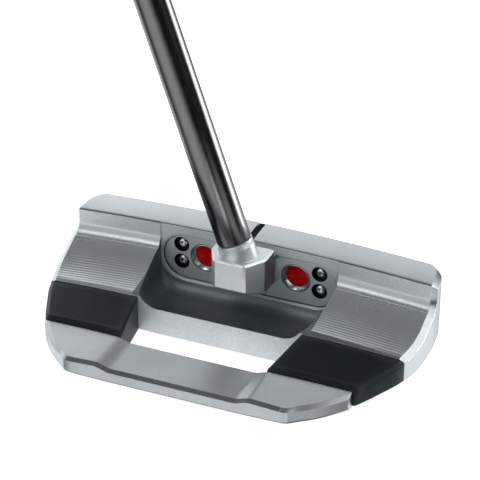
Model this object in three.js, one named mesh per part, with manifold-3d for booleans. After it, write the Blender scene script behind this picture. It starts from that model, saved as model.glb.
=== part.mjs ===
// Mallet putter: milled head with hosel plate, two side blocks and a rear rail,
// on a bonded shaft with a pistol grip.
// Frame: millimetres, +Z up, sole on the ground. +Y is where the face looks,
// +X is the toe. The shaft leans over -X in the plane y = 0.

import * as THREE from 'three';
import { mergeVertices } from 'three/addons/utils/BufferGeometryUtils.js';
import Module from 'manifold-3d';

const wasm = await Module();
wasm.setup();

// ---------------------------------------------------------------- dimensions

const GAP = 0.3;                  // air between pieces that meet

// shaft and club
const LIE = 71;                   // degrees between shaft and ground
const CLUB_LENGTH = 863.6;        // along the shaft from the ground to the butt
const AXIS_X = 8.34;              // where the shaft axis meets the ground
const TIP_R = 4.7;
const BUTT_R = 7.35;
const TUBE_WALL = 0.55;
const TAPER_FROM = 250;
const TAPER_TO = 590;
const GRIP_LENGTH = 267;
const CAP_THICK = 2.6;

// top line and wings, heights above the ground on the centre line
const TOP_Z = 23.4;
const FACE_Y = 18.0;
const LOFT = 3.5;                 // degrees the face leans back
const WALL_Y = 7.6;
const FILLET_R = 3.9;
const FILLET_Z = 19.65;           // centre height of the wall fillet
const WING_R = 46.5;
const WING_Z = 12.35;             // wing height where it rolls over
const ROLL_Y = -11;
const ROLL_R = 4.66;
const SEAM_Y = -13.1;             // rear of the front body
const SEAM_X = 24.3;              // inner end of the seam
const SEAM_SWEEP = 0.06;
const CROWN_TOP = 6.2e-4;         // height lost per mm squared from the centre
const CROWN_REAR = 1.0e-3;
const EDGE = 1.5;                 // chamfer round the front body

// sole
const KEEL_Y = -6;
const KEEL_X = 16;
const SOLE_RISE = 0.0975;
const SOLE_CAMBER = 1.16e-3;

// bowl behind the hosel plate
const BOWL_Y = 7.8;
const BOWL_FLOOR = 2.8;
const BOWL_CORNER = 3.9;
const BOWL_SIDE = 6;

// side blocks
const BLOCK_Z = 11.9;
const BLOCK_FALL = 0.07;
const BLOCK_EDGE = 1.0;
const BLOCK_REAR_Y = -30.4;
const BLOCK_REAR_SWEEP = 0.085;

// rear rail
const RAIL_Y = -44.9;
const RAIL_HIGH = 9.55;
const RAIL_LOW = 7.9;
const RAIL_STEP_IN = 17.4;
const RAIL_STEP_OUT = 22.6;
const RAIL_EDGE = 0.9;

// hosel plate, block and boss
const PLATE_Y = 8.5;
const PLATE_BACK = 11.5;
const PLATE_Z = 13.0;
const PLATE_R = 6.8;
const PLATE_HALF = 19;
const HOSEL_TOP = 23.2;
const BOSS_HEIGHT = 4.2;
const POST_R = 3.85;
const POST_LENGTH = 32;

// screws and weights
const SCREW_X = 20.5;
const SCREW_Z = [16.7, 11.3];
const SCREW_HEAD_R = 1.6;
const SCREW_BORE_R = 2.3;
const WEIGHT_X = 13.5;
const WEIGHT_Z = 13.8;
const WEIGHT_R = 4.1;
const DISC_R = 3.2;

const rad = THREE.MathUtils.degToRad;
const clamp = THREE.MathUtils.clamp;

// ------------------------------------------------------------------- helpers

function toSolid(geometry) {
  const bare = geometry.clone();
  bare.deleteAttribute('normal');
  bare.deleteAttribute('uv');
  const merged = mergeVertices(bare, 1e-4);
  const position = merged.attributes.position.array;
  const index = Array.from(merged.index.array);
  let volume = 0;
  const a = new THREE.Vector3();
  const b = new THREE.Vector3();
  const c = new THREE.Vector3();
  for (let t = 0; t < index.length; t += 3) {
    a.fromArray(position, 3 * index[t]);
    b.fromArray(position, 3 * index[t + 1]);
    c.fromArray(position, 3 * index[t + 2]);
    volume += a.dot(b.cross(c));
  }
  if (volume < 0) {
    index.reverse();
  }
  return new wasm.Manifold(new wasm.Mesh({
    numProp: 3,
    vertProperties: Float32Array.from(position),
    triVerts: Uint32Array.from(index),
  }));
}

function toGeometry(solid) {
  const mesh = solid.getMesh();
  const geometry = new THREE.BufferGeometry();
  geometry.setAttribute('position', new THREE.BufferAttribute(mesh.vertProperties, 3));
  geometry.setIndex(new THREE.BufferAttribute(mesh.triVerts, 1));
  geometry.computeVertexNormals();
  return geometry;
}

function material(color, roughness, metalness) {
  return new THREE.MeshStandardMaterial({ color, roughness, metalness });
}

function named(name, solid, look) {
  const mesh = new THREE.Mesh(toGeometry(solid), look);
  mesh.name = name;
  return mesh;
}

// A box of nx by ny by 1 cells whose corners are moved to place(i, j, k).
function shaped(nx, ny, place) {
  const box = new THREE.BoxGeometry(nx, ny, 1, nx, ny, 1);
  box.translate(nx / 2, ny / 2, 0.5);
  const position = box.attributes.position;
  for (let n = 0; n < position.count; n += 1) {
    const i = Math.round(position.getX(n));
    const j = Math.round(position.getY(n));
    const k = Math.round(position.getZ(n));
    position.setXYZ(n, ...place(i, j, k));
  }
  return toSolid(box);
}

// Straight line through [position, value] rows.
function along(rows, at) {
  const last = rows.length - 1;
  if (at <= rows[0][0]) {
    return rows[0][1];
  }
  for (let n = 0; n < last; n += 1) {
    const [p0, v0] = rows[n];
    const [p1, v1] = rows[n + 1];
    if (at <= p1) {
      return v0 + (v1 - v0) * (at - p0) / (p1 - p0);
    }
  }
  return rows[last][1];
}

// A round bar lying along +Y from y0 to y1.
function barY(radius0, radius1, x, y0, y1, z, sides) {
  const bar = new THREE.CylinderGeometry(radius1, radius0, y1 - y0, sides);
  bar.translate(x, (y0 + y1) / 2, z);
  return toSolid(bar);
}

// A round bar standing along +Z from z0 to z1.
function barZ(radius0, radius1, x, y, z0, z1, sides) {
  const bar = new THREE.CylinderGeometry(radius1, radius0, z1 - z0, sides);
  bar.rotateX(Math.PI / 2);
  bar.translate(x, y, (z0 + z1) / 2);
  return toSolid(bar);
}

// A turned piece: rows of [radius, height] about +Z.
function turned(rows, sides) {
  const lathe = new THREE.LatheGeometry(rows.map(([r, h]) => new THREE.Vector2(r, h)), sides);
  lathe.rotateX(Math.PI / 2);
  return lathe;
}

// Moves a geometry drawn about +Z onto the shaft axis.
function onShaft(geometry) {
  geometry.rotateY(-rad(90 - LIE));
  geometry.translate(AXIS_X, 0, 0);
  return geometry;
}

// Outline in the x-z plane pushed from y0 to y1.
function pushedY(shape, y0, y1, curveSegments) {
  const block = new THREE.ExtrudeGeometry(shape, {
    depth: y1 - y0,
    bevelEnabled: false,
    curveSegments,
  });
  block.rotateX(Math.PI / 2);
  block.translate(0, y1, 0);
  return toSolid(block);
}

// Plate outline with half round ends.
function roundEnded(halfLength, radius, z) {
  const shape = new THREE.Shape();
  shape.moveTo(-halfLength, z - radius);
  shape.lineTo(halfLength, z - radius);
  shape.absarc(halfLength, z, radius, -Math.PI / 2, Math.PI / 2, false);
  shape.lineTo(-halfLength, z + radius);
  shape.absarc(-halfLength, z, radius, Math.PI / 2, 1.5 * Math.PI, false);
  return shape;
}

// ------------------------------------------------------------- head surfaces

// Half width of the head at depth y.
const OUTLINE = [
  [-44.9, 30.4], [-44.6, 31.5], [-43.8, 32.6], [-42.5, 34.0], [-40.5, 36.4],
  [-37.5, 39.3], [-33.5, 42.3], [-29.5, 44.8], [-25, 47.1], [-20, 49.2],
  [-13, 51.9], [-9, 52.8], [-5, 53.4], [0, 53.7], [5, 53.7], [10, 53.4],
  [14, 52.8], [16.2, 51.8], [17.3, 50.6], [18.0, 49.0],
];
const OUTLINE_SHIFT = 0.7;        // the outline sits this far toward the toe

function halfWidth(y) {
  return along(OUTLINE, y);
}

function soleZ(x, y) {
  const back = SOLE_RISE * Math.max(0, KEEL_Y - y);
  const side = SOLE_CAMBER * Math.max(0, Math.abs(x) - KEEL_X) ** 2;
  return back + side;
}

function blockTop(x, y) {
  return BLOCK_Z + BLOCK_FALL * (y - SEAM_Y) - CROWN_REAR * 1.15 * x * x;
}

function railTop(x) {
  const t = clamp((Math.abs(x) - RAIL_STEP_IN) / (RAIL_STEP_OUT - RAIL_STEP_IN), 0, 1);
  const high = RAIL_HIGH - CROWN_REAR * x * x;
  return RAIL_LOW + (high - RAIL_LOW) * t * t * (3 - 2 * t);
}

function frontSeam(x) {
  return SEAM_Y + SEAM_SWEEP * Math.max(0, Math.abs(x) - SEAM_X);
}

function rearSeam(x) {
  return BLOCK_REAR_Y + BLOCK_REAR_SWEEP * Math.max(0, Math.abs(x) - 21.5);
}

// Upper profile of the front body from face to rear, and the same profile
// lowered by the chamfer for the outermost station.
function bodyProfile() {
  const rows = [];
  const add = (y, z, y2, z2) => rows.push({ y, z, y2, z2 });
  add(FACE_Y, TOP_Z - 0.6, FACE_Y, TOP_Z - 0.6 - EDGE);
  add(FACE_Y - 0.45, TOP_Z, FACE_Y - 0.45, TOP_Z - EDGE);
  for (const y of [17.0, 16.0, 14.0, 11.0]) {
    add(y, TOP_Z, y, TOP_Z - EDGE);
  }
  add(WALL_Y, TOP_Z, WALL_Y + EDGE, TOP_Z - EDGE);
  const centreY = WALL_Y - FILLET_R;
  for (const degrees of [90, 68, 46, 24]) {
    const s = Math.sin(rad(degrees));
    const c = Math.cos(rad(degrees));
    add(centreY + FILLET_R * s, FILLET_Z - FILLET_R * c,
      centreY + (FILLET_R + EDGE) * s, FILLET_Z - (FILLET_R + EDGE) * c);
  }
  const wingY = ROLL_Y - WING_R * Math.sin(rad(3.4));
  const wingZ = WING_Z + WING_R * Math.cos(rad(3.4));
  for (const degrees of [20, 16, 12, 7.7, 3.4]) {
    const s = Math.sin(rad(degrees));
    const c = Math.cos(rad(degrees));
    add(wingY + WING_R * s, wingZ - WING_R * c,
      wingY + (WING_R + EDGE) * s, wingZ - (WING_R + EDGE) * c);
  }
  for (const degrees of [13.4, 26.8]) {
    const y = ROLL_Y - ROLL_R * Math.sin(rad(degrees));
    const z = WING_Z - ROLL_R * (1 - Math.cos(rad(degrees)));
    add(y, z, y, z - EDGE);
  }
  return rows;
}

// ---------------------------------------------------------------- front body

function frontBodyBlank() {
  const rows = bodyProfile();
  const inner = [0, 8, 16, SEAM_X, 31, 38, 45];
  const signs = [];
  for (let n = inner.length - 1; n > 0; n -= 1) {
    signs.push(-inner[n]);
  }
  const stations = [...signs, ...inner];
  const nx = stations.length + 3;
  const ny = rows.length - 1;
  const faceFoot = FACE_Y + TOP_Z * Math.tan(rad(LOFT));
  const feet = [faceFoot, 18.2, 17.0, 16.0, 14.0, 11.0, 9.4, 8.9, 8.4, 7.4, 6.0];
  while (feet.length < rows.length) {
    feet.push(rows[feet.length].y);
  }
  return shaped(nx, ny, (i, j, k) => {
    const row = rows[j];
    const outermost = i === 0 || i === nx;
    const side = i < nx / 2 ? -1 : 1;
    let y = k === 0 ? feet[j] : (outermost ? row.y2 : row.y);
    let x;
    if (i <= 1 || i >= nx - 1) {
      const inset = outermost ? 0 : EDGE;
      const draft = k === 0 ? 0.7 : 0;
      x = side * (halfWidth(y) - inset - draft) + OUTLINE_SHIFT;
    } else {
      x = stations[i - 2];
    }
    const sweep = clamp((2.5 - y) / (2.5 - SEAM_Y), 0, 1);
    y += sweep * SEAM_SWEEP * Math.max(0, Math.abs(x) - SEAM_X);
    if (k === 0) {
      return [x, y, soleZ(x, y)];
    }
    const crown = CROWN_TOP + (CROWN_REAR - CROWN_TOP) * clamp((WALL_Y - y) / 20, 0, 1);
    return [x, y, (outermost ? row.z2 : row.z) - crown * x * x];
  });
}

function bowlFloor(y) {
  if (y > BOWL_Y - BOWL_CORNER) {
    const t = y - (BOWL_Y - BOWL_CORNER);
    return BOWL_FLOOR + BOWL_CORNER - Math.sqrt(Math.max(0, BOWL_CORNER ** 2 - t * t));
  }
  return BOWL_FLOOR + (y < 0 ? 0.0332 * y * y : 0);
}

function bowlTool() {
  const half = [[-16, 24.0], [-13, 24.2], [-10.5, 24.6], [-5, 25.5], [1.4, 26.3], [8, 26.4]];
  const insets = [0, 0.2, 1.0, 2.4, 4.2, 6, 16];
  const depths = [BOWL_Y, 7.5, 6.7, 5.4, 3.9, 0, -3, -6, -8.5, -11, -13.2, -15.5];
  const nx = 2 * insets.length;
  return shaped(nx, depths.length - 1, (i, j, k) => {
    const y = depths[j];
    const w = along(half, y);
    const n = Math.min(i, nx - i);
    const x = n === insets.length ? 0 : (i < nx / 2 ? -1 : 1) * (w - insets[n]);
    const t = Math.max(0, Math.abs(x) - (w - BOWL_SIDE));
    const rise = BOWL_SIDE - Math.sqrt(Math.max(0, BOWL_SIDE ** 2 - t * t));
    return [x, y, k === 1 ? TOP_Z + 8 : bowlFloor(y) + rise];
  });
}

// Thin foot that reaches under a side block and takes a sole screw.
function foot(side, x0, x1, y0, y1, thick, spare) {
  return shaped(2, 2, (i, j, k) => {
    const x = side * (i === 0 ? x0 - spare : i === 2 ? x1 + spare : (x0 + x1) / 2);
    const y = j === 0 ? y0 - spare : j === 2 ? y1 + spare : (y0 + y1) / 2;
    const low = spare > 0 ? -3 : 0;
    return [x, y, soleZ(x, y) + (k === 1 ? thick + spare : low)];
  });
}

const FOOT_FRONT = { x0: 29, x1: 41, y0: -20, y1: -12.2, screw: [35, -16.6] };
const FOOT_REAR = { x0: 26, x1: 37, y0: -32, y1: -24.2, screw: [31.5, -27.4] };
const FOOT_THICK = 2.6;

function footOf(side, spot, spare) {
  return foot(side, spot.x0, spot.x1, spot.y0, spot.y1, FOOT_THICK, spare);
}

// Clearance hole with a countersink opening in the sole.
function soleScrewHole(side, [x, y]) {
  const base = soleZ(x, y);
  const hole = barZ(1.5, 1.5, side * x, y, base - 1, 8.1, 20);
  const sink = barZ(3.1, 1.5, side * x, y, base - 0.45, base + 1.35, 20);
  return hole.add(sink);
}

function frontBody() {
  let body = frontBodyBlank().subtract(bowlTool());
  body = body.subtract(pushedY(roundEnded(PLATE_HALF, PLATE_R + GAP, PLATE_Z),
    BOWL_Y - 2, PLATE_BACK + GAP, 10));
  for (const side of [-1, 1]) {
    for (const z of SCREW_Z) {
      body = body.subtract(barY(1.35, 1.35, side * SCREW_X, PLATE_BACK - 1, 16, z, 16));
    }
    body = body.subtract(
      barY(WEIGHT_R - 0.1, WEIGHT_R - 0.1, side * WEIGHT_X, PLATE_BACK - 1, 15.6, WEIGHT_Z, 24));
    body = body.add(footOf(side, FOOT_FRONT, 0));
    body = body.subtract(soleScrewHole(side, FOOT_FRONT.screw));
  }
  const groove = new THREE.BoxGeometry(2.1, 14, 4);
  groove.translate(0, 13.1, TOP_Z - 0.9 + 2);
  return body.subtract(toSolid(groove));
}

function sightLineFill() {
  const fill = new THREE.BoxGeometry(1.6, 9.6, 0.45);
  fill.translate(0, 12.75, TOP_Z - 0.9 + 0.2 + 0.225);
  return toSolid(fill);
}

// --------------------------------------------------------------- side blocks

function sideBlock(side) {
  const across = [0, 0.34, 0.68, 1];
  const back = [0, 0.25, 0.5, 0.75, 1];
  // stations: inner wall, inner bevel, ..., outer bevel, outer wall
  const nx = across.length + 1;
  const ny = back.length;
  const block = shaped(nx, ny, (i, j, k) => {
    const rearmost = j === ny;
    const v = rearmost ? 1 : back[j];
    const edgeX = i === 0 || i === nx;
    const inFront = SEAM_Y - GAP;
    const inRear = BLOCK_REAR_Y + GAP;
    const y0 = inFront + (inRear - inFront) * v;
    const wallIn = SEAM_X - 0.4 - 2.8 * v;
    let x;
    let y = y0;
    for (let pass = 0; pass < 4; pass += 1) {
      const wallOut = halfWidth(y) + side * OUTLINE_SHIFT - GAP;
      const bevelIn = 0.3 + 0.6 * v;
      if (i === 0) {
        x = wallIn;
      } else if (i === nx) {
        x = wallOut;
      } else {
        const u = across[i - 1];
        x = wallIn + bevelIn + (wallOut - 1.2 - wallIn - bevelIn) * u;
      }
      const front = frontSeam(x) - GAP;
      const rear = rearSeam(x) + GAP + (rearmost || k === 0 ? 0 : BLOCK_EDGE);
      y = front + (rear - front) * v;
    }
    if (k === 0) {
      return [side * x, y, soleZ(x, y)];
    }
    let z = blockTop(x, y);
    if (edgeX) {
      z -= i === 0 ? 0.3 + 0.7 * v : 1.2;
    }
    if (rearmost) {
      z = Math.min(z, blockTop(x, y) - BLOCK_EDGE - 0.1);
    }
    return [side * x, y, z];
  });
  return block
    .subtract(footOf(side, FOOT_FRONT, GAP))
    .subtract(footOf(side, FOOT_REAR, GAP))
    .subtract(soleScrewHole(side, FOOT_FRONT.screw))
    .subtract(soleScrewHole(side, FOOT_REAR.screw));
}

// ----------------------------------------------------------------- rear rail

function rearRail() {
  const half = [
    0, 9, RAIL_STEP_IN, 18.7, 20, 21.3, RAIL_STEP_OUT,
    30.4, 31.5, 32.6, 34, 36.4, 39.3, 42, 44.4,
  ];
  const last = half.length - 1;
  const nx = 2 * last;
  // rows: front top, rear top, chamfer foot
  const rows = [0, 1, 2];
  let rail = shaped(nx, rows.length - 1, (i, j, k) => {
    const n = Math.abs(i - last);
    const side = i < last ? -1 : 1;
    const x = side * half[n];
    const rim = x - OUTLINE_SHIFT;
    const outer = railRear(Math.abs(rim));
    const inner = Math.min(railRear(Math.abs(rim) + 0.75 * tilt(Math.abs(rim))) + RAIL_EDGE,
      rearSeam(x) - 0.12);
    const front = rearSeam(x);
    const wall = Math.min(outer, front - 0.2);
    if (k === 0) {
      const y = j === 0 ? front : j === 1 ? (front + wall) / 2 : wall + 0.4;
      return [x, j === 2 ? Math.min(y, front - 0.1) : y, soleZ(x, y)];
    }
    if (j === 0) {
      return [x, front, railTop(x)];
    }
    if (j === 1) {
      return [x, inner, railTop(x)];
    }
    return [x, wall, railTop(x) - RAIL_EDGE];
  });
  for (const side of [-1, 1]) {
    rail = rail.add(footOf(side, FOOT_REAR, 0));
    rail = rail.subtract(soleScrewHole(side, FOOT_REAR.screw));
  }
  return rail;
}

// Rear wall of the rail at a half width, and how far it turns to the side.
function railRear(halfX) {
  const rows = OUTLINE.filter(([y]) => y < -20).map(([y, w]) => [w, y]);
  return along(rows, halfX);
}

function tilt(halfX) {
  return clamp((halfX - 30) / 5, 0, 1);
}

// --------------------------------------------------------------------- hosel

function hosel() {
  let piece = pushedY(roundEnded(PLATE_HALF, PLATE_R, PLATE_Z), PLATE_Y, PLATE_BACK, 10);
  const plan = new THREE.Shape();
  plan.moveTo(-4.2, -5.8);
  plan.lineTo(4.2, -5.8);
  plan.lineTo(8.5, 0.1);
  plan.lineTo(8.5, 6.1);
  plan.lineTo(-8.5, 6.1);
  plan.lineTo(-8.5, 0.1);
  plan.closePath();
  const bevel = 0.35;
  const block = new THREE.ExtrudeGeometry(plan, {
    depth: 10.6 - bevel,
    bevelEnabled: true,
    bevelThickness: bevel,
    bevelSize: bevel,
    bevelOffset: -bevel,
    bevelSegments: 1,
  });
  block.translate(0, 0, HOSEL_TOP - 10.6);
  piece = piece.add(toSolid(block));
  const neck = new THREE.BoxGeometry(17.6, 2.6, 8.5);
  neck.translate(0, 6.0, 16.75);
  const base = new THREE.BoxGeometry(17.6, 2.6, 7.0);
  base.translate(0, 8.0, 16.0);
  piece = piece.add(toSolid(neck)).add(toSolid(base));
  // slanted underside of the block
  const under = new THREE.BoxGeometry(30, 12, 6);
  under.rotateX(rad(-21));
  under.translate(0, -6.6, HOSEL_TOP - 8.0 - 3.6);
  piece = piece.subtract(toSolid(under));
  for (const side of [-1, 1]) {
    for (const z of SCREW_Z) {
      piece = piece.subtract(barY(SCREW_BORE_R, SCREW_BORE_R, side * SCREW_X, 7, 10.4, z, 24));
      piece = piece.subtract(barY(1.35, 1.35, side * SCREW_X, 10, 12, z, 16));
    }
    piece = piece.subtract(
      barY(WEIGHT_R + 0.25, WEIGHT_R + 0.25, side * WEIGHT_X, 7, 10.9, WEIGHT_Z, 36));
    piece = piece.subtract(
      barY(WEIGHT_R - 0.1, WEIGHT_R - 0.1, side * WEIGHT_X, 10, 12, WEIGHT_Z, 24));
  }
  const foot0 = HOSEL_TOP / Math.sin(rad(LIE));
  const boss = turned([
    [0, foot0 - 2.5], [5.6, foot0 - 2.5], [5.6, foot0 + 0.5], [5.4, foot0 + 0.9],
    [5.2, foot0 + 1.6], [5.2, foot0 + 2.1], [5.0, foot0 + 2.6],
    [4.9, foot0 + BOSS_HEIGHT - 0.1], [4.8, foot0 + BOSS_HEIGHT],
    [POST_R, foot0 + BOSS_HEIGHT],
    [POST_R, foot0 + POST_LENGTH - 0.6], [POST_R - 0.6, foot0 + POST_LENGTH],
    [0, foot0 + POST_LENGTH],
  ], 40);
  return piece.add(toSolid(onShaft(boss)));
}

// Button head screw with a hexagon socket, its head looking along -Y.
function hoselScrew(x, z) {
  const rows = [
    [0, 0], [SCREW_HEAD_R - 0.75, 0], [SCREW_HEAD_R - 0.3, -0.22], [SCREW_HEAD_R, -0.75],
    [SCREW_HEAD_R, -1.25], [1.05, -1.25], [1.05, -6.2], [0.8, -6.5], [0, -6.5],
  ];
  const body = new THREE.LatheGeometry(rows.map(([r, h]) => new THREE.Vector2(r, h)).reverse(), 24);
  const socket = new THREE.CylinderGeometry(0.72, 0.72, 1.6, 6);
  const piece = toSolid(body).subtract(toSolid(socket));
  const geometry = toGeometry(piece);
  geometry.rotateX(Math.PI);
  geometry.translate(x, 8.95, z);
  return toSolid(geometry);
}

// Threaded weight: a steel cup with a conical rim; the disc sits on its floor.
function weightCup(x) {
  const outer = barY(WEIGHT_R, WEIGHT_R, x, 8.6, 10.6, WEIGHT_Z, 36)
    .add(barY(WEIGHT_R - 0.4, WEIGHT_R - 0.4, x, 10.3, 15.3, WEIGHT_Z, 36));
  const mouth = barY(4.0, DISC_R + 0.2, x, 8.4, 9.5, WEIGHT_Z, 36);
  const well = barY(DISC_R + 0.2, DISC_R + 0.2, x, 9.4, 10.6, WEIGHT_Z, 36);
  return outer.subtract(mouth).subtract(well);
}

function weightDisc(x) {
  return barY(DISC_R - 0.25, DISC_R, x, 9.55, 9.75, WEIGHT_Z, 36)
    .add(barY(DISC_R, DISC_R, x, 9.7, 10.35, WEIGHT_Z, 36));
}

// Countersunk screw standing in the sole.
function soleScrew(side, [x, y]) {
  const base = soleZ(x, y);
  const head = barZ(2.3, 1.2, side * x, y, base + 0.25, base + 1.3, 20);
  const shank = barZ(1.2, 1.2, side * x, y, base + 1.2, 7.6, 20);
  const slot = new THREE.CylinderGeometry(0.8, 0.8, 1.2, 6);
  slot.rotateX(Math.PI / 2);
  slot.translate(side * x, y, base + 0.2);
  return head.add(shank).subtract(toSolid(slot));
}

// ----------------------------------------------------------- shaft and grip

const SHAFT_FOOT = HOSEL_TOP / Math.sin(rad(LIE)) + BOSS_HEIGHT + 0.25;
const SHAFT_END = CLUB_LENGTH - CAP_THICK - GAP;

function shaftRadius(s) {
  return along([[TAPER_FROM, TIP_R], [TAPER_TO, BUTT_R]], s);
}

function shaftTube() {
  const marks = [SHAFT_FOOT, TAPER_FROM, (TAPER_FROM + TAPER_TO) / 2, TAPER_TO, SHAFT_END];
  const outside = marks.map((s) => [shaftRadius(s), s]);
  const inside = marks.map((s) => [shaftRadius(s) - TUBE_WALL, s]).reverse();
  return toSolid(turned([...outside, ...inside, outside[0]], 32));
}

// Pistol grip: round behind, flat in front, swelling toward the butt.
function gripSleeve() {
  const from = CLUB_LENGTH - CAP_THICK - GRIP_LENGTH;
  const rows = [
    [0, 8.9], [3, 9.3], [40, 9.7], [80, 10.2], [120, 10.7], [155, 11.1],
    [185, 12.2], [215, 13.4], [245, 13.9], [262, 13.8], [GRIP_LENGTH, 13.2],
  ];
  const bore = (s) => shaftRadius(s) + 0.2;
  const outside = rows.map(([s, r]) => [r, from + s]);
  const inside = rows.map(([s]) => [bore(from + s), from + s]).reverse();
  const sleeve = turned([...outside, ...inside, outside[0]], 36);
  const position = sleeve.attributes.position;
  for (let n = 0; n < position.count; n += 1) {
    const x = position.getX(n);
    const y = position.getY(n);
    const s = position.getZ(n);
    const r = Math.hypot(x, y);
    if (r > bore(s) + 0.4) {
      const flat = 9.15 + 0.9 * clamp((s - from) / GRIP_LENGTH, 0, 1);
      position.setX(n, Math.min(x, flat));
    }
  }
  return toSolid(sleeve);
}

function gripCap() {
  const base = CLUB_LENGTH - CAP_THICK;
  const rows = [
    [1.2, base - 6], [BUTT_R - TUBE_WALL - 0.5, base - 6],
    [BUTT_R - TUBE_WALL - 0.3, base + GAP], [12.6, base + GAP], [13.0, base + 1.0],
    [12.2, base + 2.0], [8, base + 2.5], [1.2, CLUB_LENGTH], [1.2, base - 6],
  ];
  const cap = turned(rows, 36);
  const position = cap.attributes.position;
  for (let n = 0; n < position.count; n += 1) {
    if (position.getZ(n) > base) {
      position.setX(n, Math.min(position.getX(n), 9.9));
    }
  }
  return toSolid(cap);
}

// ------------------------------------------------------------------ assembly

const steel = material(0xb9bcc0, 0.38, 1);
const black = material(0x26292b, 0.45, 0.6);
const chrome = material(0xd6d8da, 0.15, 1);
const red = material(0xc3070f, 0.25, 0.7);
const shaftBlack = material(0x141516, 0.2, 0.6);
const rubber = material(0x1d1e20, 0.85, 0);

const putter = new THREE.Group();
putter.add(named('front_body', frontBody(), steel));
putter.add(named('side_block_heel', sideBlock(-1), black));
putter.add(named('side_block_toe', sideBlock(1), black));
putter.add(named('rear_rail', rearRail(), steel.clone()));
putter.add(named('hosel', hosel(), steel.clone()));
putter.add(named('sight_line_fill', sightLineFill(), material(0x0a0a0b, 0.5, 0)));

for (const [side, end] of [[-1, 'heel'], [1, 'toe']]) {
  SCREW_Z.forEach((z, n) => {
    const name = `hosel_screw_${end}_${n === 0 ? 'upper' : 'lower'}`;
    putter.add(named(name, hoselScrew(side * SCREW_X, z), chrome.clone()));
  });
  putter.add(named(`weight_${end}`, weightCup(side * WEIGHT_X), chrome.clone()));
  putter.add(named(`weight_disc_${end}`, weightDisc(side * WEIGHT_X), red.clone()));
  putter.add(named(`sole_screw_front_${end}`, soleScrew(side, FOOT_FRONT.screw), chrome.clone()));
  putter.add(named(`sole_screw_rear_${end}`, soleScrew(side, FOOT_REAR.screw), chrome.clone()));
}

const club = new THREE.Group();
club.position.set(AXIS_X, 0, 0);
club.rotation.y = -rad(90 - LIE);
club.add(named('shaft', shaftTube(), shaftBlack));
club.add(named('grip', gripSleeve(), rubber));
club.add(named('grip_cap', gripCap(), rubber.clone()));
putter.add(club);

export default putter;
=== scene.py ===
"""Mallet putter: the detailed pieces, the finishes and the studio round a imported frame."""

import math

import bmesh
import bpy
from mathutils import Matrix, Vector


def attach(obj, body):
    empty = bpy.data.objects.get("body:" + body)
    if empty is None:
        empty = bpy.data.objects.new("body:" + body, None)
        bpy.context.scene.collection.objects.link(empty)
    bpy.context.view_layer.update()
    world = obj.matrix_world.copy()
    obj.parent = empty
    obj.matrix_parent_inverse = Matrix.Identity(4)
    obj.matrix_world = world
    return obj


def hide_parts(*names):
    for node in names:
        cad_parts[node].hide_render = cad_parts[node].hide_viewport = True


bl_info = {
    "name": "Mallet putter maker",
    "version": (1, 0, 0),
    "blender": (4, 5, 0),
    "location": "3D View > Sidebar > Putter",
    "description": "Builds a milled mallet putter, its finishes and a plain studio",
    "category": "Add Mesh",
}

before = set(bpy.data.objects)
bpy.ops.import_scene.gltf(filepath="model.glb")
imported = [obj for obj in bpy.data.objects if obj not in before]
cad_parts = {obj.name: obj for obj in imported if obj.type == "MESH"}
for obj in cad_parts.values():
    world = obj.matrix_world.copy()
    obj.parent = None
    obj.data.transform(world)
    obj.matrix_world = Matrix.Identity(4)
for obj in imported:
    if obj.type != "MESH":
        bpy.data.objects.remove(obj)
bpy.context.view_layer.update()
MM = 0.001

# ------------------------------------------------------------------ sizes, mm

LIE = 71.0
CLUB_LENGTH = 863.6
AXIS_X = 8.34
TIP_R = 4.7
BUTT_R = 7.35
TUBE_WALL = 0.55
TAPER_FROM = 250.0
TAPER_TO = 590.0
GRIP_LENGTH = 267.0
CAP_THICK = 2.6
GAP = 0.3

TOP_Z = 23.4
FACE_Y = 18.0
LOFT = 3.5
WALL_Y = 7.6
FILLET_R = 3.9
FILLET_Z = 19.65
WING_R = 46.5
WING_Z = 12.35
ROLL_Y = -11.0
ROLL_R = 4.66
SEAM_Y = -13.1
SEAM_X = 24.3
SEAM_SWEEP = 0.06
CROWN_TOP = 6.2e-4
CROWN_REAR = 1.0e-3
EDGE = 1.5

KEEL_Y = -6.0
KEEL_X = 16.0
SOLE_RISE = 0.0975
SOLE_CAMBER = 1.16e-3

BOWL_Y = 7.8
BOWL_FLOOR = 2.8
BOWL_CORNER = 3.9
BOWL_SIDE = 6.0

BLOCK_Z = 11.9
BLOCK_FALL = 0.07
BLOCK_EDGE = 1.0
BLOCK_REAR_Y = -30.4
BLOCK_REAR_SWEEP = 0.085

RAIL_HIGH = 9.55
RAIL_LOW = 7.9
RAIL_STEP_IN = 17.4
RAIL_STEP_OUT = 22.6
RAIL_TURN_X = 30.4
RAIL_EDGE = 1.3
RAIL_DROP = 0.62

PLATE_Y = 8.5
PLATE_BACK = 11.5
PLATE_Z = 13.0
PLATE_R = 6.8
PLATE_HALF = 19.0
HOSEL_TOP = 23.2
BOSS_FROM = HOSEL_TOP / math.sin(math.radians(LIE))
BOSS_HEIGHT = 4.2
POST_R = 3.85
POST_LENGTH = 32.0

SCREW_X = 20.5
SCREW_Z = (16.7, 11.3)
SCREW_HEAD_R = 1.6
SCREW_BORE_R = 2.3
WEIGHT_X = 13.5
WEIGHT_Z = 13.8
WEIGHT_R = 4.1
DISC_R = 3.05

OUTLINE = [
    (-44.9, 30.4), (-44.6, 31.5), (-43.8, 32.6), (-42.5, 34.0), (-40.5, 36.4),
    (-37.5, 39.3), (-33.5, 42.3), (-29.5, 44.8), (-25, 47.1), (-20, 49.2),
    (-13, 51.9), (-9, 52.8), (-5, 53.4), (0, 53.7), (5, 53.7), (10, 53.4),
    (14, 52.8), (16.2, 51.8), (17.3, 50.6), (18.0, 49.0),
]
OUTLINE_SHIFT = 0.7

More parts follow.
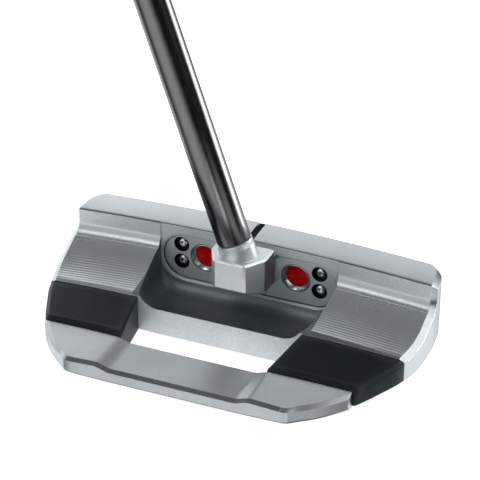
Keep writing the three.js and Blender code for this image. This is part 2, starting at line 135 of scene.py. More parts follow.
FOOT_FRONT = {"x": (29.0, 41.0), "y": (-20.0, -12.2), "screw": (35.0, -16.6)}
FOOT_REAR = {"x": (26.0, 37.0), "y": (-32.0, -24.2), "screw": (31.5, -27.4)}
FOOT_THICK = 2.6

TAP_R = 1.35
WEIGHT_THREAD_R = WEIGHT_R - 0.1
ENDS = ((-1, "heel"), (1, "toe"))
ROUND_SIDES = 96


# --------------------------------------------------------------- mesh helpers

def clamp(value, low, high):
    """The value kept between low and high."""
    return max(low, min(high, value))


def smooth_curve(rows):
    """A smooth curve through (position, value) rows that never overshoots them."""
    xs = [r[0] for r in rows]
    ys = [r[1] for r in rows]
    steps = [xs[n + 1] - xs[n] for n in range(len(xs) - 1)]
    slopes = [(ys[n + 1] - ys[n]) / steps[n] for n in range(len(steps))]
    tangents = [slopes[0]]
    for n in range(1, len(slopes)):
        a, b = slopes[n - 1], slopes[n]
        tangents.append(0.0 if a * b <= 0 else 2 * a * b / (a + b))
    tangents.append(slopes[-1])

    def at(x):
        if x <= xs[0]:
            return ys[0]
        if x >= xs[-1]:
            return ys[-1]
        n = 0
        while x > xs[n + 1]:
            n += 1
        t = (x - xs[n]) / steps[n]
        t2, t3 = t * t, t * t * t
        return (ys[n] * (2 * t3 - 3 * t2 + 1) + ys[n + 1] * (3 * t2 - 2 * t3)
                + steps[n] * (tangents[n] * (t3 - 2 * t2 + t)
                              + tangents[n + 1] * (t3 - t2)))
    return at


half_width = smooth_curve(OUTLINE)
rail_rear = smooth_curve([(w, y) for y, w in OUTLINE if y < -20])


def new_object(name, verts, faces):
    """An object from points in millimetres and their faces."""
    mesh = bpy.data.meshes.new(name)
    mesh.from_pydata([(x * MM, y * MM, z * MM) for x, y, z in verts], [], faces)
    mesh.validate()
    obj = bpy.data.objects.new(name, mesh)
    bpy.context.scene.collection.objects.link(obj)
    clean(obj)
    return obj


def clean(obj, merge=2e-7):
    """Merges doubles and turns every face outward."""
    bm = bmesh.new()
    bm.from_mesh(obj.data)
    bmesh.ops.remove_doubles(bm, verts=bm.verts, dist=merge)
    bmesh.ops.dissolve_degenerate(bm, edges=bm.edges, dist=merge)
    bmesh.ops.recalc_face_normals(bm, faces=bm.faces)
    bm.to_mesh(obj.data)
    bm.free()


def shell(name, nx, ny, nk, place):
    """The skin of a block of nx by ny by nk cells, its corners put at place(i, j, k)."""
    index = {}
    verts = []
    faces = []

    def corner(i, j, k):
        key = (i, j, k)
        if key not in index:
            index[key] = len(verts)
            verts.append(place(i, j, k))
        return index[key]

    for i in range(nx):
        for j in range(ny):
            faces.append([corner(i, j, 0), corner(i, j + 1, 0),
                          corner(i + 1, j + 1, 0), corner(i + 1, j, 0)])
            faces.append([corner(i, j, nk), corner(i + 1, j, nk),
                          corner(i + 1, j + 1, nk), corner(i, j + 1, nk)])
    for k in range(nk):
        for i in range(nx):
            for j in (0, ny):
                faces.append([corner(i, j, k), corner(i + 1, j, k),
                              corner(i + 1, j, k + 1), corner(i, j, k + 1)])
        for j in range(ny):
            for i in (0, nx):
                faces.append([corner(i, j, k), corner(i, j + 1, k),
                              corner(i, j + 1, k + 1), corner(i, j, k + 1)])
    return new_object(name, verts, faces)


def loft(name, rings, closed=False):
    """A skin over rings of equal count; the ends are capped unless it closes on itself."""
    count = len(rings[0])
    verts = [p for ring in rings for p in ring]
    faces = []
    spans = len(rings) if closed else len(rings) - 1
    for r in range(spans):
        a = r * count
        b = ((r + 1) % len(rings)) * count
        for n in range(count):
            m = (n + 1) % count
            faces.append([a + n, a + m, b + m, b + n])
    if not closed:
        faces.append(list(range(count)))
        faces.append(list(range((len(rings) - 1) * count, len(rings) * count)))
    return new_object(name, verts, faces)


def circle(radius, sides, height=0.0):
    """Points round a level circle."""
    return [(radius * math.cos(2 * math.pi * n / sides),
             radius * math.sin(2 * math.pi * n / sides), height) for n in range(sides)]


def lathe(name, rows, sides, closed=False):
    """A turned piece about +Z from (radius, height) rows."""
    return loft(name, [circle(max(r, 1e-4), sides, h) for r, h in rows], closed)


def move(obj, matrix):
    """Moves the mesh of an object, in metres."""
    obj.data.transform(matrix)
    obj.data.update()
    return obj


def shift(x, y, z):
    """A move by millimetres."""
    return Matrix.Translation((x * MM, y * MM, z * MM))


LOOK_BACK = Matrix.Rotation(math.pi / 2, 4, "X")      # a piece drawn about +Z looks along -Y
ON_SHAFT = shift(AXIS_X, 0, 0) @ Matrix.Rotation(-math.radians(90 - LIE), 4, "Y")


def joined(name, objects):
    """One object from several, without cutting them."""
    bm = bmesh.new()
    for obj in objects:
        bm.from_mesh(obj.data)
        bpy.data.objects.remove(obj)
    mesh = bpy.data.meshes.new(name)
    bm.to_mesh(mesh)
    bm.free()
    result = bpy.data.objects.new(name, mesh)
    bpy.context.scene.collection.objects.link(result)
    return result


def settle(obj):
    """Turns what the modifiers make into the plain mesh of the object."""
    bpy.context.view_layer.update()
    depsgraph = bpy.context.evaluated_depsgraph_get()
    mesh = bpy.data.meshes.new_from_object(obj.evaluated_get(depsgraph))
    obj.modifiers.clear()
    obj.data = mesh
    return obj


def cut(obj, tool, operation="DIFFERENCE"):
    """Cuts, or joins, the tool into the object and removes the tool."""
    modifier = obj.modifiers.new("cut", "BOOLEAN")
    modifier.operation = operation
    modifier.solver = "EXACT"
    modifier.object = tool
    settle(obj)
    bpy.data.objects.remove(tool)
    clean(obj, 5e-7)
    if not obj.data.polygons:
        raise RuntimeError("nothing is left of " + obj.name)
    return obj


def rod(radius0, radius1, start, end, axis, sides=40):
    """A round bar between two heights along Y or Z, as a cutting tool."""
    x, y, z = start
    length = end - (y if axis == "Y" else z)
    bar = lathe("tool", [(radius0, 0), (radius1, length)], sides)
    if axis == "Y":
        move(bar, Matrix.Rotation(-math.pi / 2, 4, "X"))
    return move(bar, shift(x, y, z))


def block(x0, x1, y0, y1, z0, z1):
    """A plain cutting block."""
    xs, ys, zs = (x0, x1), (y0, y1), (z0, z1)
    return shell("tool", 1, 1, 1, lambda i, j, k: (xs[i], ys[j], zs[k]))


def round_ended(half, radius, z, steps=20):
    """Outline in x and z of a plate with half round ends."""
    points = []
    for side, start in ((1, -90), (-1, 90)):
        for n in range(steps + 1):
            a = math.radians(start + 180 * n / steps)
            points.append((side * half + radius * math.cos(a), z + radius * math.sin(a)))
    return points


def crisp(obj, degrees=32):
    """Smooth shading that stays crisp on every edge sharper than the angle."""
    bm = bmesh.new()
    bm.from_mesh(obj.data)
    limit = math.radians(degrees)
    for face in bm.faces:
        face.smooth = True
    for edge in bm.edges:
        edge.smooth = len(edge.link_faces) == 2 and edge.calc_face_angle(0) < limit
    bm.to_mesh(obj.data)
    bm.free()


def done(obj, nodes, slot, *finishes, degrees=32):
    """Ends a piece: shading, finishes by name, and the CAD nodes it stands for."""
    crisp(obj, degrees)
    obj.data.materials.clear()
    for name in finishes:
        obj.data.materials.append(finish(name))
    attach(obj, "root")
    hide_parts(*nodes)
    return obj


def finish_faces(obj, finishes, rule):
    """Gives faces the finish that rule(middle in mm, direction) names, where it names one."""
    for face in obj.data.polygons:
        name = rule(face.center / MM, face.normal)
        if name:
            face.material_index = finishes.index(name)


def node_modifier(obj, tree, values):
    """Puts a node tree on an object with its inputs set by identifier."""
    modifier = obj.modifiers.new(tree.name, "NODES")
    modifier.node_group = tree
    for item in tree.interface.items_tree:
        if item.item_type == "SOCKET" and item.in_out == "INPUT" and item.name in values:
            modifier[item.identifier] = values[item.name]
    return modifier


class Tree:
    """Short words for building a node tree."""

    def __init__(self, tree):
        self.tree = tree

    def add(self, kind, **settings):
        node = self.tree.nodes.new(kind)
        for key, value in settings.items():
            if key.startswith("in_"):
                node.inputs[key[3:]].default_value = value
            else:
                setattr(node, key, value)
        return node

    def link(self, source, target):
        self.tree.links.new(source, target)

    def feed(self, node, **inputs):
        """Sets or links inputs by name; an underline in a name stands for a space."""
        for name, value in inputs.items():
            socket = node.inputs[name.replace("_", " ")]
            if isinstance(value, bpy.types.NodeSocket):
                self.link(value, socket)
            else:
                socket.default_value = value

    def math(self, operation, a, b=None, c=None):
        node = self.add("ShaderNodeMath", operation=operation)
        for n, value in enumerate((a, b, c)):
            if value is None:
                continue
            if isinstance(value, (int, float)):
                node.inputs[n].default_value = value
            else:
                self.link(value, node.inputs[n])
        return node.outputs[0]


# --------------------------------------------------------------- head surfaces

def sole_z(x, y):
    """Height of the sole."""
    back = SOLE_RISE * max(0.0, KEEL_Y - y)
    side = SOLE_CAMBER * max(0.0, abs(x) - KEEL_X) ** 2
    return back + side


def block_top(x, y):
    """Height of a side block."""
    return BLOCK_Z + BLOCK_FALL * (y - SEAM_Y) - CROWN_REAR * 1.15 * x * x


def rail_top(x):
    """Height of the rear rail, low in the middle and high at both ends."""
    t = clamp((abs(x) - RAIL_STEP_IN) / (RAIL_STEP_OUT - RAIL_STEP_IN), 0, 1)
    high = RAIL_HIGH - CROWN_REAR * x * x
    return RAIL_LOW + (high - RAIL_LOW) * t * t * (3 - 2 * t)


def front_seam(x):
    """Where the front body meets the blocks."""
    return SEAM_Y + SEAM_SWEEP * max(0.0, abs(x) - SEAM_X)


def rear_seam(x):
    """Where the blocks meet the rail."""
    return BLOCK_REAR_Y + BLOCK_REAR_SWEEP * max(0.0, abs(x) - 21.5)


def spread(start, end, count):
    """Evenly spaced numbers, both ends included."""
    return [start + (end - start) * n / (count - 1) for n in range(count)]


FLUTE_FROM = 4.98
FLUTE_TO = -10.95


def profile_rows(pitch, per_flute):
    """The whole upper profile with rows fine enough for the flutes."""
    rows = []
    for degrees in (0, 30, 60, 90):
        a = math.radians(degrees)
        y = FACE_Y - 0.5 + 0.5 * math.cos(a)
        z = TOP_Z - 0.62 + 0.5 * math.sin(a)
        rows.append((y, z, y, z - EDGE, 0.0))
    for y in spread(17.1, WALL_Y + 0.5, 14):
        sag = 0.2 * ((y - 13.4) / 5) ** 2
        t = clamp((9.6 - y) / 2, 0, 1)
        rows.append((y, TOP_Z - sag, y + EDGE * t, TOP_Z - sag - EDGE, 0.0))
    rows.append((WALL_Y, TOP_Z - 0.42, WALL_Y + EDGE, TOP_Z - 0.3 - EDGE, 0.0))
    centre = WALL_Y - FILLET_R
    for z in spread(TOP_Z - 1.2, FILLET_Z + 0.4, 3):
        drop = EDGE * clamp((z - FILLET_Z) / (TOP_Z - FILLET_Z), 0, 1)
        rows.append((WALL_Y, z, WALL_Y + EDGE, z - drop, 0.0))
    for degrees in spread(90, 24, 13):
        s, c = math.sin(math.radians(degrees)), math.cos(math.radians(degrees))
        rows.append((centre + FILLET_R * s, FILLET_Z - FILLET_R * c,
                     centre + (FILLET_R + EDGE) * s, FILLET_Z - (FILLET_R + EDGE) * c, 0.0))
    wing_y = ROLL_Y - WING_R * math.sin(math.radians(3.4))
    wing_z = WING_Z + WING_R * math.cos(math.radians(3.4))
    y, z, y2, z2, _ = rows[-1]
    for back, deep in ((0.05, 0.09), (0.17, 0.14), (0.23, 0.12)):
        rows.append((y - back, z - back * 0.43 - deep, y2 - back, z2 - back * 0.43, 0.0))
    count = int((FLUTE_FROM - FLUTE_TO) / pitch * per_flute)
    for y in spread(FLUTE_FROM, ROLL_Y + 0.05, count + 1):
        s = (y - wing_y) / WING_R
        c = math.sqrt(1 - s * s)
        rows.append((y, wing_z - WING_R * c, wing_y + (WING_R + EDGE) * s,
                     wing_z - (WING_R + EDGE) * c, 1.0))
    for degrees in spread(1.5, 26.8, 12):
        y = ROLL_Y - ROLL_R * math.sin(math.radians(degrees))
        z = WING_Z - ROLL_R * (1 - math.cos(math.radians(degrees)))
        rows.append((y, z, y, z - EDGE, 0.0))
    return rows


def sole_rows(rows):
    """Depth on the sole below each row of the upper profile."""
    foot = FACE_Y + TOP_Z * math.tan(math.radians(LOFT))
    last_top = max(n for n, row in enumerate(rows) if row[0] > WALL_Y + 0.05)
    first_wing = min(n for n, row in enumerate(rows) if row[4] > 0)
    depths = []
    for n, row in enumerate(rows):
        if n <= last_top:
            t = (rows[0][0] - row[0]) / (rows[0][0] - rows[last_top][0])
            depths.append(foot + (9.6 - foot) * t)
        elif n < first_wing:
            t = (n - last_top) / (first_wing - last_top)
            depths.append(9.6 + (rows[first_wing][0] - 9.6) * t)
        else:
            depths.append(row[0])
    return depths


def body_blank(pitch, per_flute):
    """The front body before the bowl and the holes are cut."""
    rows = profile_rows(pitch, per_flute)
    depths = sole_rows(rows)
    ny = len(rows) - 1
    stations = spread(-46, 46, 47)
    nx = len(stations) + 5
    levels = 4

    def place(i, j, k):
        y, z, y2, z2, _ = rows[j]
        outermost = i == 0 or i == nx
        side = -1 if i < nx / 2 else 1
        top_y = y2 if outermost else y
        top_z = z2 if outermost else z
        share = (0.0, 0.06, 0.5, 0.9, 1.0)[k]
        tuck = (1.1, 0.28, 0.12, 0.0, 0.0)[k]
        base_y = depths[j]
        if j == 0:
            base_y -= (0.9, 0.1, 0, 0, 0)[k]
        at_y = base_y + (top_y - base_y) * share
        inset = (0, EDGE, EDGE + 0.3)[min(i, nx - i, 2)]
        if i <= 2 or i >= nx - 2:
            width = half_width(at_y) - (inset if k == levels or k == 0 else 0)
            x = side * (width - tuck) + OUTLINE_SHIFT
        else:
            x = stations[i - 3]
        sweep = clamp((2.5 - at_y) / (2.5 - SEAM_Y), 0, 1)
        at_y += sweep * SEAM_SWEEP * max(0.0, abs(x) - SEAM_X)
        crown = CROWN_TOP + (CROWN_REAR - CROWN_TOP) * clamp((WALL_Y - top_y) / 20, 0, 1)
        roof = top_z - crown * x * x
        floor = sole_z(x, at_y)
        return (x, at_y, floor + (roof - floor) * share)

    obj = shell("front_body_steel", nx, ny, levels, place)
    mask = obj.data.attributes.new("fluted", "FLOAT", "POINT")
    for n, vert in enumerate(obj.data.vertices):
        y, z = vert.co.y / MM, vert.co.z / MM
        inside = FLUTE_TO - 1 < y < FLUTE_FROM + 0.2 and z > 9.0
        rim = abs(vert.co.x / MM - OUTLINE_SHIFT) < half_width(y) - EDGE - 0.15
        mask.data[n].value = 1.0 if inside and rim else 0.0
    return obj


def new_node_tree(name, **inputs):
    """A geometry node tree with its inputs and one output, and the nodes at both ends."""
    tree = bpy.data.node_groups.new(name, "GeometryNodeTree")
    for label, kind in {"Geometry": "Geometry", "Material": "Material", **inputs}.items():
        tree.interface.new_socket(label, in_out="INPUT", socket_type="NodeSocket" + kind)
    tree.interface.new_socket("Geometry", in_out="OUTPUT", socket_type="NodeSocketGeometry")
    t = Tree(tree)
    return t, t.add("NodeGroupInput"), t.add("NodeGroupOutput")


def end_tree(t, geometry, source, target):
    """Ends a tree in real geometry with its material."""
    real = t.add("GeometryNodeRealizeInstances")
    paint = t.add("GeometryNodeSetMaterial")
    t.feed(real, Geometry=geometry)
    t.feed(paint, Geometry=real.outputs[0], Material=source.outputs["Material"])
    t.feed(target, Geometry=paint.outputs[0])
    return t.tree


def flute_tree():
    """Node tree that presses parallel milled flutes into the marked surface."""
    t, source, target = new_node_tree("milled_flutes", Pitch="Float", Depth="Float",
                                      First="Float", Last="Float")
    position = t.add("GeometryNodeInputPosition")
    parts = t.add("ShaderNodeSeparateXYZ")
    t.link(position.outputs[0], parts.inputs[0])
    along = t.math("SUBTRACT", source.outputs["First"], parts.outputs[1])
    turns = t.math("DIVIDE", along, source.outputs["Pitch"])
    across = t.math("MULTIPLY_ADD", t.math("FRACT", turns), 2.0, -1.0)
    hollow = t.math("SUBTRACT", 1.0, t.math("MULTIPLY", across, across))
    started = t.math("GREATER_THAN", along, 0.0)
    before_end = t.math("GREATER_THAN", parts.outputs[1], source.outputs["Last"])
    mask = t.add("GeometryNodeInputNamedAttribute", data_type="FLOAT", in_Name="fluted")
    share = t.math("MULTIPLY", t.math("MULTIPLY", started, before_end), mask.outputs[0])
    depth = t.math("MULTIPLY", t.math("MULTIPLY", hollow, share), source.outputs["Depth"])
    inward = t.add("ShaderNodeVectorMath", operation="SCALE")
    normal = t.add("GeometryNodeInputNormal")
    t.link(normal.outputs[0], inward.inputs[0])
    t.feed(inward, Scale=t.math("MULTIPLY", depth, -1.0))
    put = t.add("GeometryNodeSetPosition")
    t.feed(put, Geometry=source.outputs["Geometry"], Offset=inward.outputs[0])
    return end_tree(t, put.outputs[0], source, target)


def repeat_tree(name):
    """Node tree that sets one piece on every point, turned to the point's own direction."""
    t, source, target = new_node_tree(name, Piece="Object")
    piece = t.add("GeometryNodeObjectInfo")
    turn = t.add("GeometryNodeInputNamedAttribute", data_type="FLOAT_VECTOR", in_Name="turn")
    spin = t.add("FunctionNodeEulerToRotation")
    t.link(turn.outputs[0], spin.inputs[0])
    put = t.add("GeometryNodeInstanceOnPoints")
    t.feed(piece, Object=source.outputs["Piece"])
    t.feed(put, Points=source.outputs["Geometry"], Instance=piece.outputs["Geometry"],
           Rotation=spin.outputs[0])
    return end_tree(t, put.outputs[0], source, target)


def repeated(name, piece, places, material):
    """One mesh with the piece set at every (position, turn), positions in millimetres."""
    mesh = bpy.data.meshes.new(name)
    mesh.from_pydata([(p[0] * MM, p[1] * MM, p[2] * MM) for p, _ in places], [], [])
    turns = mesh.attributes.new("turn", "FLOAT_VECTOR", "POINT")
    for n, (_, turn) in enumerate(places):
        turns.data[n].vector = turn
    obj = bpy.data.objects.new(name, mesh)
    bpy.context.scene.collection.objects.link(obj)
    node_modifier(obj, repeat_tree(name + "_pattern"), {"Piece": piece, "Material": material})
    settle(obj)
    bpy.data.objects.remove(piece)
    return obj


def bowl_floor(y):
    """Height of the bowl's floor along its middle."""
    if y > BOWL_Y - BOWL_CORNER:
        t = y - (BOWL_Y - BOWL_CORNER)
        return BOWL_FLOOR + BOWL_CORNER - math.sqrt(max(0.0, BOWL_CORNER ** 2 - t * t))
    return BOWL_FLOOR + (0.0332 * y * y if y < 0 else 0)


bowl_half = smooth_curve([(-16, 24.0), (-13, 24.2), (-10.5, 24.6), (-5, 25.5), (1.4, 26.3),
                          (8, 26.4)])


def bowl_tool():
    """The cutter that leaves the bowl."""
    insets = [BOWL_SIDE * (1 - math.sin(math.radians(a))) for a in spread(90, 0, 15)]
    insets += [8.5, 12, 16, 20]
    depths = [BOWL_Y - BOWL_CORNER * (1 - math.cos(math.radians(a))) for a in spread(0, 90, 13)]
    depths += spread(3.0, 0, 4) + spread(-0.7, -15.5, 24)
    nx = 2 * len(insets)

    def place(i, j, k):
        y = depths[j]
        w = bowl_half(y)
        n = min(i, nx - i)
        x = 0.0 if n == len(insets) else (-1 if i < nx / 2 else 1) * (w - insets[n])
        t = max(0.0, abs(x) - (w - BOWL_SIDE))
        rise = BOWL_SIDE - math.sqrt(max(0.0, BOWL_SIDE ** 2 - t * t))
        return (x, y, TOP_Z + 8 if k == 1 else bowl_floor(y) + rise)

    return shell("tool", nx, len(depths) - 1, 1, place)


def foot(side, spot, spare=0.0):
    """The thin foot under a side block, or the room for it."""
    x0, x1 = spot["x"]
    y0, y1 = spot["y"]

    def place(i, j, k):
        x = side * (x0 - spare + (x1 - x0 + 2 * spare) * i / 3)
        y = y0 - spare + (y1 - y0 + 2 * spare) * j / 3
        if k == 0:
            return (x, y, -3.0 if spare else sole_z(x, y) + 0.02)
        return (x, y, sole_z(x, y) + FOOT_THICK + spare)

    return shell("tool", 3, 3, 1, place)


def sole_hole(side, spot):
    """A countersunk clearance hole in the sole."""
    x, y = spot["screw"]
    base = sole_z(x, y)
    rows = [(3.2, -1.0), (3.12, -0.45), (1.5, 1.35), (1.5, 8.1 - base)]
    return move(lathe("tool", rows, 40), shift(side * x, y, base))


def plate_tool(spare, y0, y1):
    """The recess that the hosel plate sits in."""
    rings = []
    for y, wider in ((y0, 0.5), (BOWL_Y - 0.05, 0.5), (BOWL_Y + 0.5, 0.0), (y1, 0.0)):
        outline = round_ended(PLATE_HALF, PLATE_R + spare + wider, PLATE_Z, 28)
        rings.append([(x, y, z) for x, z in outline])
    return loft("tool", rings)


# ------------------------------------------------------------------- materials

def new_material(name):
    """A fresh node material with its tree, its shader and a point on the piece."""
    material = bpy.data.materials.new(name)
    material.use_nodes = True
    tree = Tree(material.node_tree)
    place = tree.add("ShaderNodeTexCoord")
    return material, tree, material.node_tree.nodes["Principled BSDF"], place.outputs["Object"]


def shade(colour, factor):
    """The colour made darker or lighter, never above full brightness."""
    return tuple(min(1, part * factor) for part in colour)


def speckle(tree, point, scale, stretch=(1, 1, 1), detail=3.0, rough=0.6):
    """Fine noise on the piece, scale in marks to the millimetre."""
    mapping = tree.add("ShaderNodeMapping", in_Scale=stretch)
    tree.feed(mapping, Vector=point)
    noise = tree.add("ShaderNodeTexNoise", in_Scale=scale * 1000, in_Detail=detail,
                     in_Roughness=rough)
    tree.feed(noise, Vector=mapping.outputs[0])
    return noise.outputs["Fac"]


def weighted(tree, *parts):
    """The sum of (source, weight) parts."""
    total = 0.0
    for source, weight in parts:
        total = tree.math("MULTIPLY_ADD", source, weight, total)
    return total


def between(tree, factor, out_low, out_high, low=0.3, high=0.7):
    """The factor stretched to out_low..out_high; most of a noise lies from 0.3 to 0.7."""
    node = tree.add("ShaderNodeMapRange")
    tree.feed(node, From_Min=low, From_Max=high, To_Min=out_low, To_Max=out_high, Value=factor)
    return node.outputs[0]


def mixed(tree, factor, a, b):
    """A colour between a and b."""
    node = tree.add("ShaderNodeMix", data_type="RGBA")
    tree.feed(node, A=a if isinstance(a, bpy.types.NodeSocket) else (*a, 1), B=(*b, 1),
              Factor=factor)
    return node.outputs["Result"]


def raised(tree, height, distance, edge=0.0):
    """A bump from a height, with edges that look rounded; both sizes are in millimetres."""
    bump = tree.add("ShaderNodeBump", in_Strength=1.0, in_Distance=distance * MM)
    tree.feed(bump, Height=height)
    if edge:
        rounded = tree.add("ShaderNodeBevel", samples=4, in_Radius=edge * MM)
        tree.feed(bump, Normal=rounded.outputs[0])
    return bump.outputs[0]


def steel(name, dark, light, rough, grain, brush=0.0, edge=0.24, metal=1.0):
    """Satin steel: blasted grain, faint brushing along x and a slow change of tone."""
    material, tree, shader, point = new_material(name)
    fine = speckle(tree, point, 1.5, detail=4.0, rough=0.75)
    slow = speckle(tree, point, 0.05, detail=2.0)
    lines = speckle(tree, point, 0.55, (0.25, 9.0, 9.0), 5.0, 0.75)
    tone = weighted(tree, (fine, 0.45), (slow, 0.3), (lines, 0.25))
    height = weighted(tree, (fine, 1.0), (lines, brush))
    tree.feed(shader, Metallic=metal,
              Base_Color=mixed(tree, between(tree, tone, 0, 1), dark, light),
              Roughness=between(tree, tone, rough + 0.05, rough - 0.05),
              Normal=raised(tree, height, grain, edge))
    return material


def black_metal(name):
    """Black anodised aluminium with fine brushing and paler edges: wear, together with a painted
    highlight along the edges.
    """
    material, tree, shader, point = new_material(name)
    lines = speckle(tree, point, 0.7, (0.3, 7.0, 7.0), 5.0, 0.75)
    fine = speckle(tree, point, 4.0)
    tone = weighted(tree, (lines, 0.6), (fine, 0.4))
    shape = tree.add("ShaderNodeNewGeometry")
    # painted highlight with wear: the sharper convex edges are made paler
    edge_wear_and_highlight = between(tree, shape.outputs["Pointiness"], 0, 0.5, 0.52, 0.62)
    black = mixed(tree, between(tree, tone, 0, 1, 0.35, 0.65), (0.003, 0.0065, 0.0085),
                  (0.007, 0.0115, 0.0145))
    tree.feed(shader, Metallic=0.3, Specular_IOR_Level=0.2, Specular_Tint=(0.78, 0.91, 1.0, 1),
              Base_Color=mixed(tree, edge_wear_and_highlight, black, (0.10, 0.11, 0.115)),
              Roughness=between(tree, tone, 0.44, 0.34),
              Normal=raised(tree, tone, 0.006, 0.3))
    return material


def polished(name, colour, rough):
    """Bright plated metal with a trace of turning marks."""
    material, tree, shader, point = new_material(name)
    fine = speckle(tree, point, 2.4, detail=4.0)
    tree.feed(shader, Metallic=1.0,
              Base_Color=mixed(tree, fine, shade(colour, 0.9), colour),
              Roughness=between(tree, fine, rough * 0.7, rough * 1.5),
              Normal=raised(tree, fine, 0.0012, 0.06))
    return material


def spun_red(name, colour):
    """Red tinted metal with spin marks; a fan of lighter red across the disc, set by the angle
    round it, is a painted highlight.
    """
    material, tree, shader, _ = new_material(name)
    spin = tree.add("ShaderNodeUVMap", uv_map="spin")
    parts = tree.add("ShaderNodeSeparateXYZ")
    tree.link(spin.outputs[0], parts.inputs[0])
    around, outward = parts.outputs[0], parts.outputs[1]
    lines = tree.add("ShaderNodeTexNoise", noise_dimensions="1D", in_Scale=420.0, in_Detail=4.0)
    tree.feed(lines, W=outward)
    # painted highlight: lighter red in a fan by the angle round the disc; the spin lines are mixed
    # in at the last step
    painted_fan_highlight = tree.math("SINE", tree.math("MULTIPLY_ADD", around, 4 * math.pi, 0.9))
    painted_fan_highlight = tree.math("POWER", tree.math("MULTIPLY_ADD", painted_fan_highlight, 0.5, 0.5), 3.0)
    painted_fan_highlight = weighted(tree, (painted_fan_highlight, 0.8), (lines.outputs["Fac"], 0.4))
    tangent = tree.add("ShaderNodeTangent", direction_type="UV_MAP", uv_map="spin")
    # the colour of the painted highlight
    pale = (1.0, colour[1] * 2.5, colour[2] * 2)
    tree.feed(shader, Metallic=0.2, Specular_IOR_Level=0.06, Roughness=0.26, Anisotropic=0.9,
              Base_Color=mixed(tree, painted_fan_highlight, shade(colour, 0.7), pale),
              Tangent=tangent.outputs[0],
              Normal=raised(tree, lines.outputs["Fac"], 0.002))
    return material


def gloss_black(name, colour):
    """Deep gloss black with faint draw lines along the tube."""
    material, tree, shader, point = new_material(name)
    lines = speckle(tree, point, 0.25, (6.0, 6.0, 0.15), 4.0)
    tree.feed(shader, Metallic=1.0,
              Base_Color=mixed(tree, lines, shade(colour, 0.8), colour),
              Roughness=between(tree, lines, 0.17, 0.23),
              Normal=raised(tree, lines, 0.0004))
    return material


def rubber(name, colour, grain):
    """Matt moulded rubber, or matt paint, with a fine hide-like grain."""
    material, tree, shader, point = new_material(name)
    fine = speckle(tree, point, 1.6, detail=4.0)
    cells = tree.add("ShaderNodeTexVoronoi", feature="DISTANCE_TO_EDGE", in_Scale=900.0)
    tree.feed(cells, Vector=point)
    height = weighted(tree, (cells.outputs["Distance"], 1.2), (fine, 0.4))
    tree.feed(shader, Specular_IOR_Level=0.3,
              Base_Color=mixed(tree, fine, colour, shade(colour, 1.5)),
              Roughness=between(tree, fine, 0.72, 0.88),
              Normal=raised(tree, height, grain))
    return material


# Finishes in the steel colour: its darkest and its lightest share, roughness, height of the
# grain in millimetres, and what else is not as usual.
STEELS = {
    "milled steel": (0.86, 1.0, 0.3, 0.012, {"brush": 0.4}),
    "top steel": (0.86, 1.0, 0.34, 0.01, {"brush": 0.3}),
    "blasted steel": (0.8, 1.25, 0.48, 0.024, {"metal": 0.32}),
    # shadow steel is painted shade: a dark copy of the steel, put on faces where shade falls
    "shadow steel": (0.22, 0.46, 0.52, 0.024, {}),
    # bore steel makes the walls of the screw bores in the plate very dark
    "bore steel": (0.1, 0.16, 0.35, 0.002, {}),
    "rail steel": (0.62, 0.82, 0.34, 0.014, {"brush": 0.3}),
    "hosel steel": (1.1, 1.4, 0.4, 0.03, {"edge": 0.05, "metal": 0.85}),
    "turned steel": (0.95, 1.3, 0.44, 0.004, {"edge": 0.03, "metal": 0.85}),
}
# Finishes with a colour of their own, whatever the settings say.
FIXED = {
    # painted shade: a darker, bluer copy of the steel for the bowl and the inside of the plate
    # recess
    "bowl steel": (steel, (0.19, 0.225, 0.245), (0.3, 0.345, 0.37), 0.5, 0.02, 0.0, 0.5),
    "black aluminium": (black_metal,),
    "bright chrome": (polished, (0.86, 0.87, 0.88), 0.12),
    "cup chrome": (polished, (0.70, 0.73, 0.75), 0.2),
    "screw chrome": (polished, (0.92, 0.94, 0.96), 0.1),
    "grip rubber": (rubber, (0.016, 0.016, 0.017), 0.12),
    "cap rubber": (rubber, (0.02, 0.02, 0.021), 0.05),
    "paint fill": (rubber, (0.002, 0.002, 0.0022), 0.01),
}
MADE = {}


def finish(name):
    """The material of a finish, made once."""
    if name in MADE:
        return MADE[name]
    looks = bpy.context.scene.putter_finishes
    label = name.replace(" ", "_")
    if name in STEELS:
        low, high, rough, grain, others = STEELS[name]
        made = steel(label, shade(looks.steel, low), shade(looks.steel, high), rough, grain,
                     **others)
    elif name in FIXED:
        maker, *values = FIXED[name]
        made = maker(label, *values)
    else:
        maker, colour = {"red disc": (spun_red, looks.disc),
                         "shaft black": (gloss_black, looks.shaft)}[name]
        made = maker(label, tuple(colour))
    MADE[name] = made
    return made


# ------------------------------------------------------------------ properties

def length(name, description, default, low=0.0, precision=5):
    """A length that a user may change, given in millimetres."""
    return bpy.props.FloatProperty(name=name, description=description, default=default * MM,
                                   min=low * MM, unit="LENGTH", precision=precision)


def colour_choice(name, description, default):
    """A colour that a user may change."""
    return bpy.props.FloatVectorProperty(name=name, description=description, subtype="COLOR",
                                         default=default, min=0, max=1)


class PutterSizes(bpy.types.PropertyGroup):
    """Sizes that a user may change."""
    flute_pitch: length("Flute pitch", "Distance from one milled flute to the next", 0.93, 0.3)
    flute_depth: length("Flute depth", "Depth of a milled flute at its middle", 0.06,
                        precision=6)
    edge_break: length("Edge break", "Width of the small chamfer on the hosel block", 0.5, 0.05)
    sole_gap: length("Floor gap", "How far the floor lies below the sole", 0.5, precision=4)


class PutterFinishes(bpy.types.PropertyGroup):
    """Colours that a user may change."""
    steel: colour_choice("Steel", "Colour of the satin steel", (0.70, 0.745, 0.77))
    disc: colour_choice("Weight disc", "Colour of the tinted discs in the weights",
                        (0.95, 0.006, 0.010))
    shaft: colour_choice("Shaft", "Colour of the plated shaft", (0.2, 0.2, 0.204))
    floor: colour_choice("Floor", "Colour of the floor", (0.93, 0.93, 0.93))


# ------------------------------------------------------------------- operators

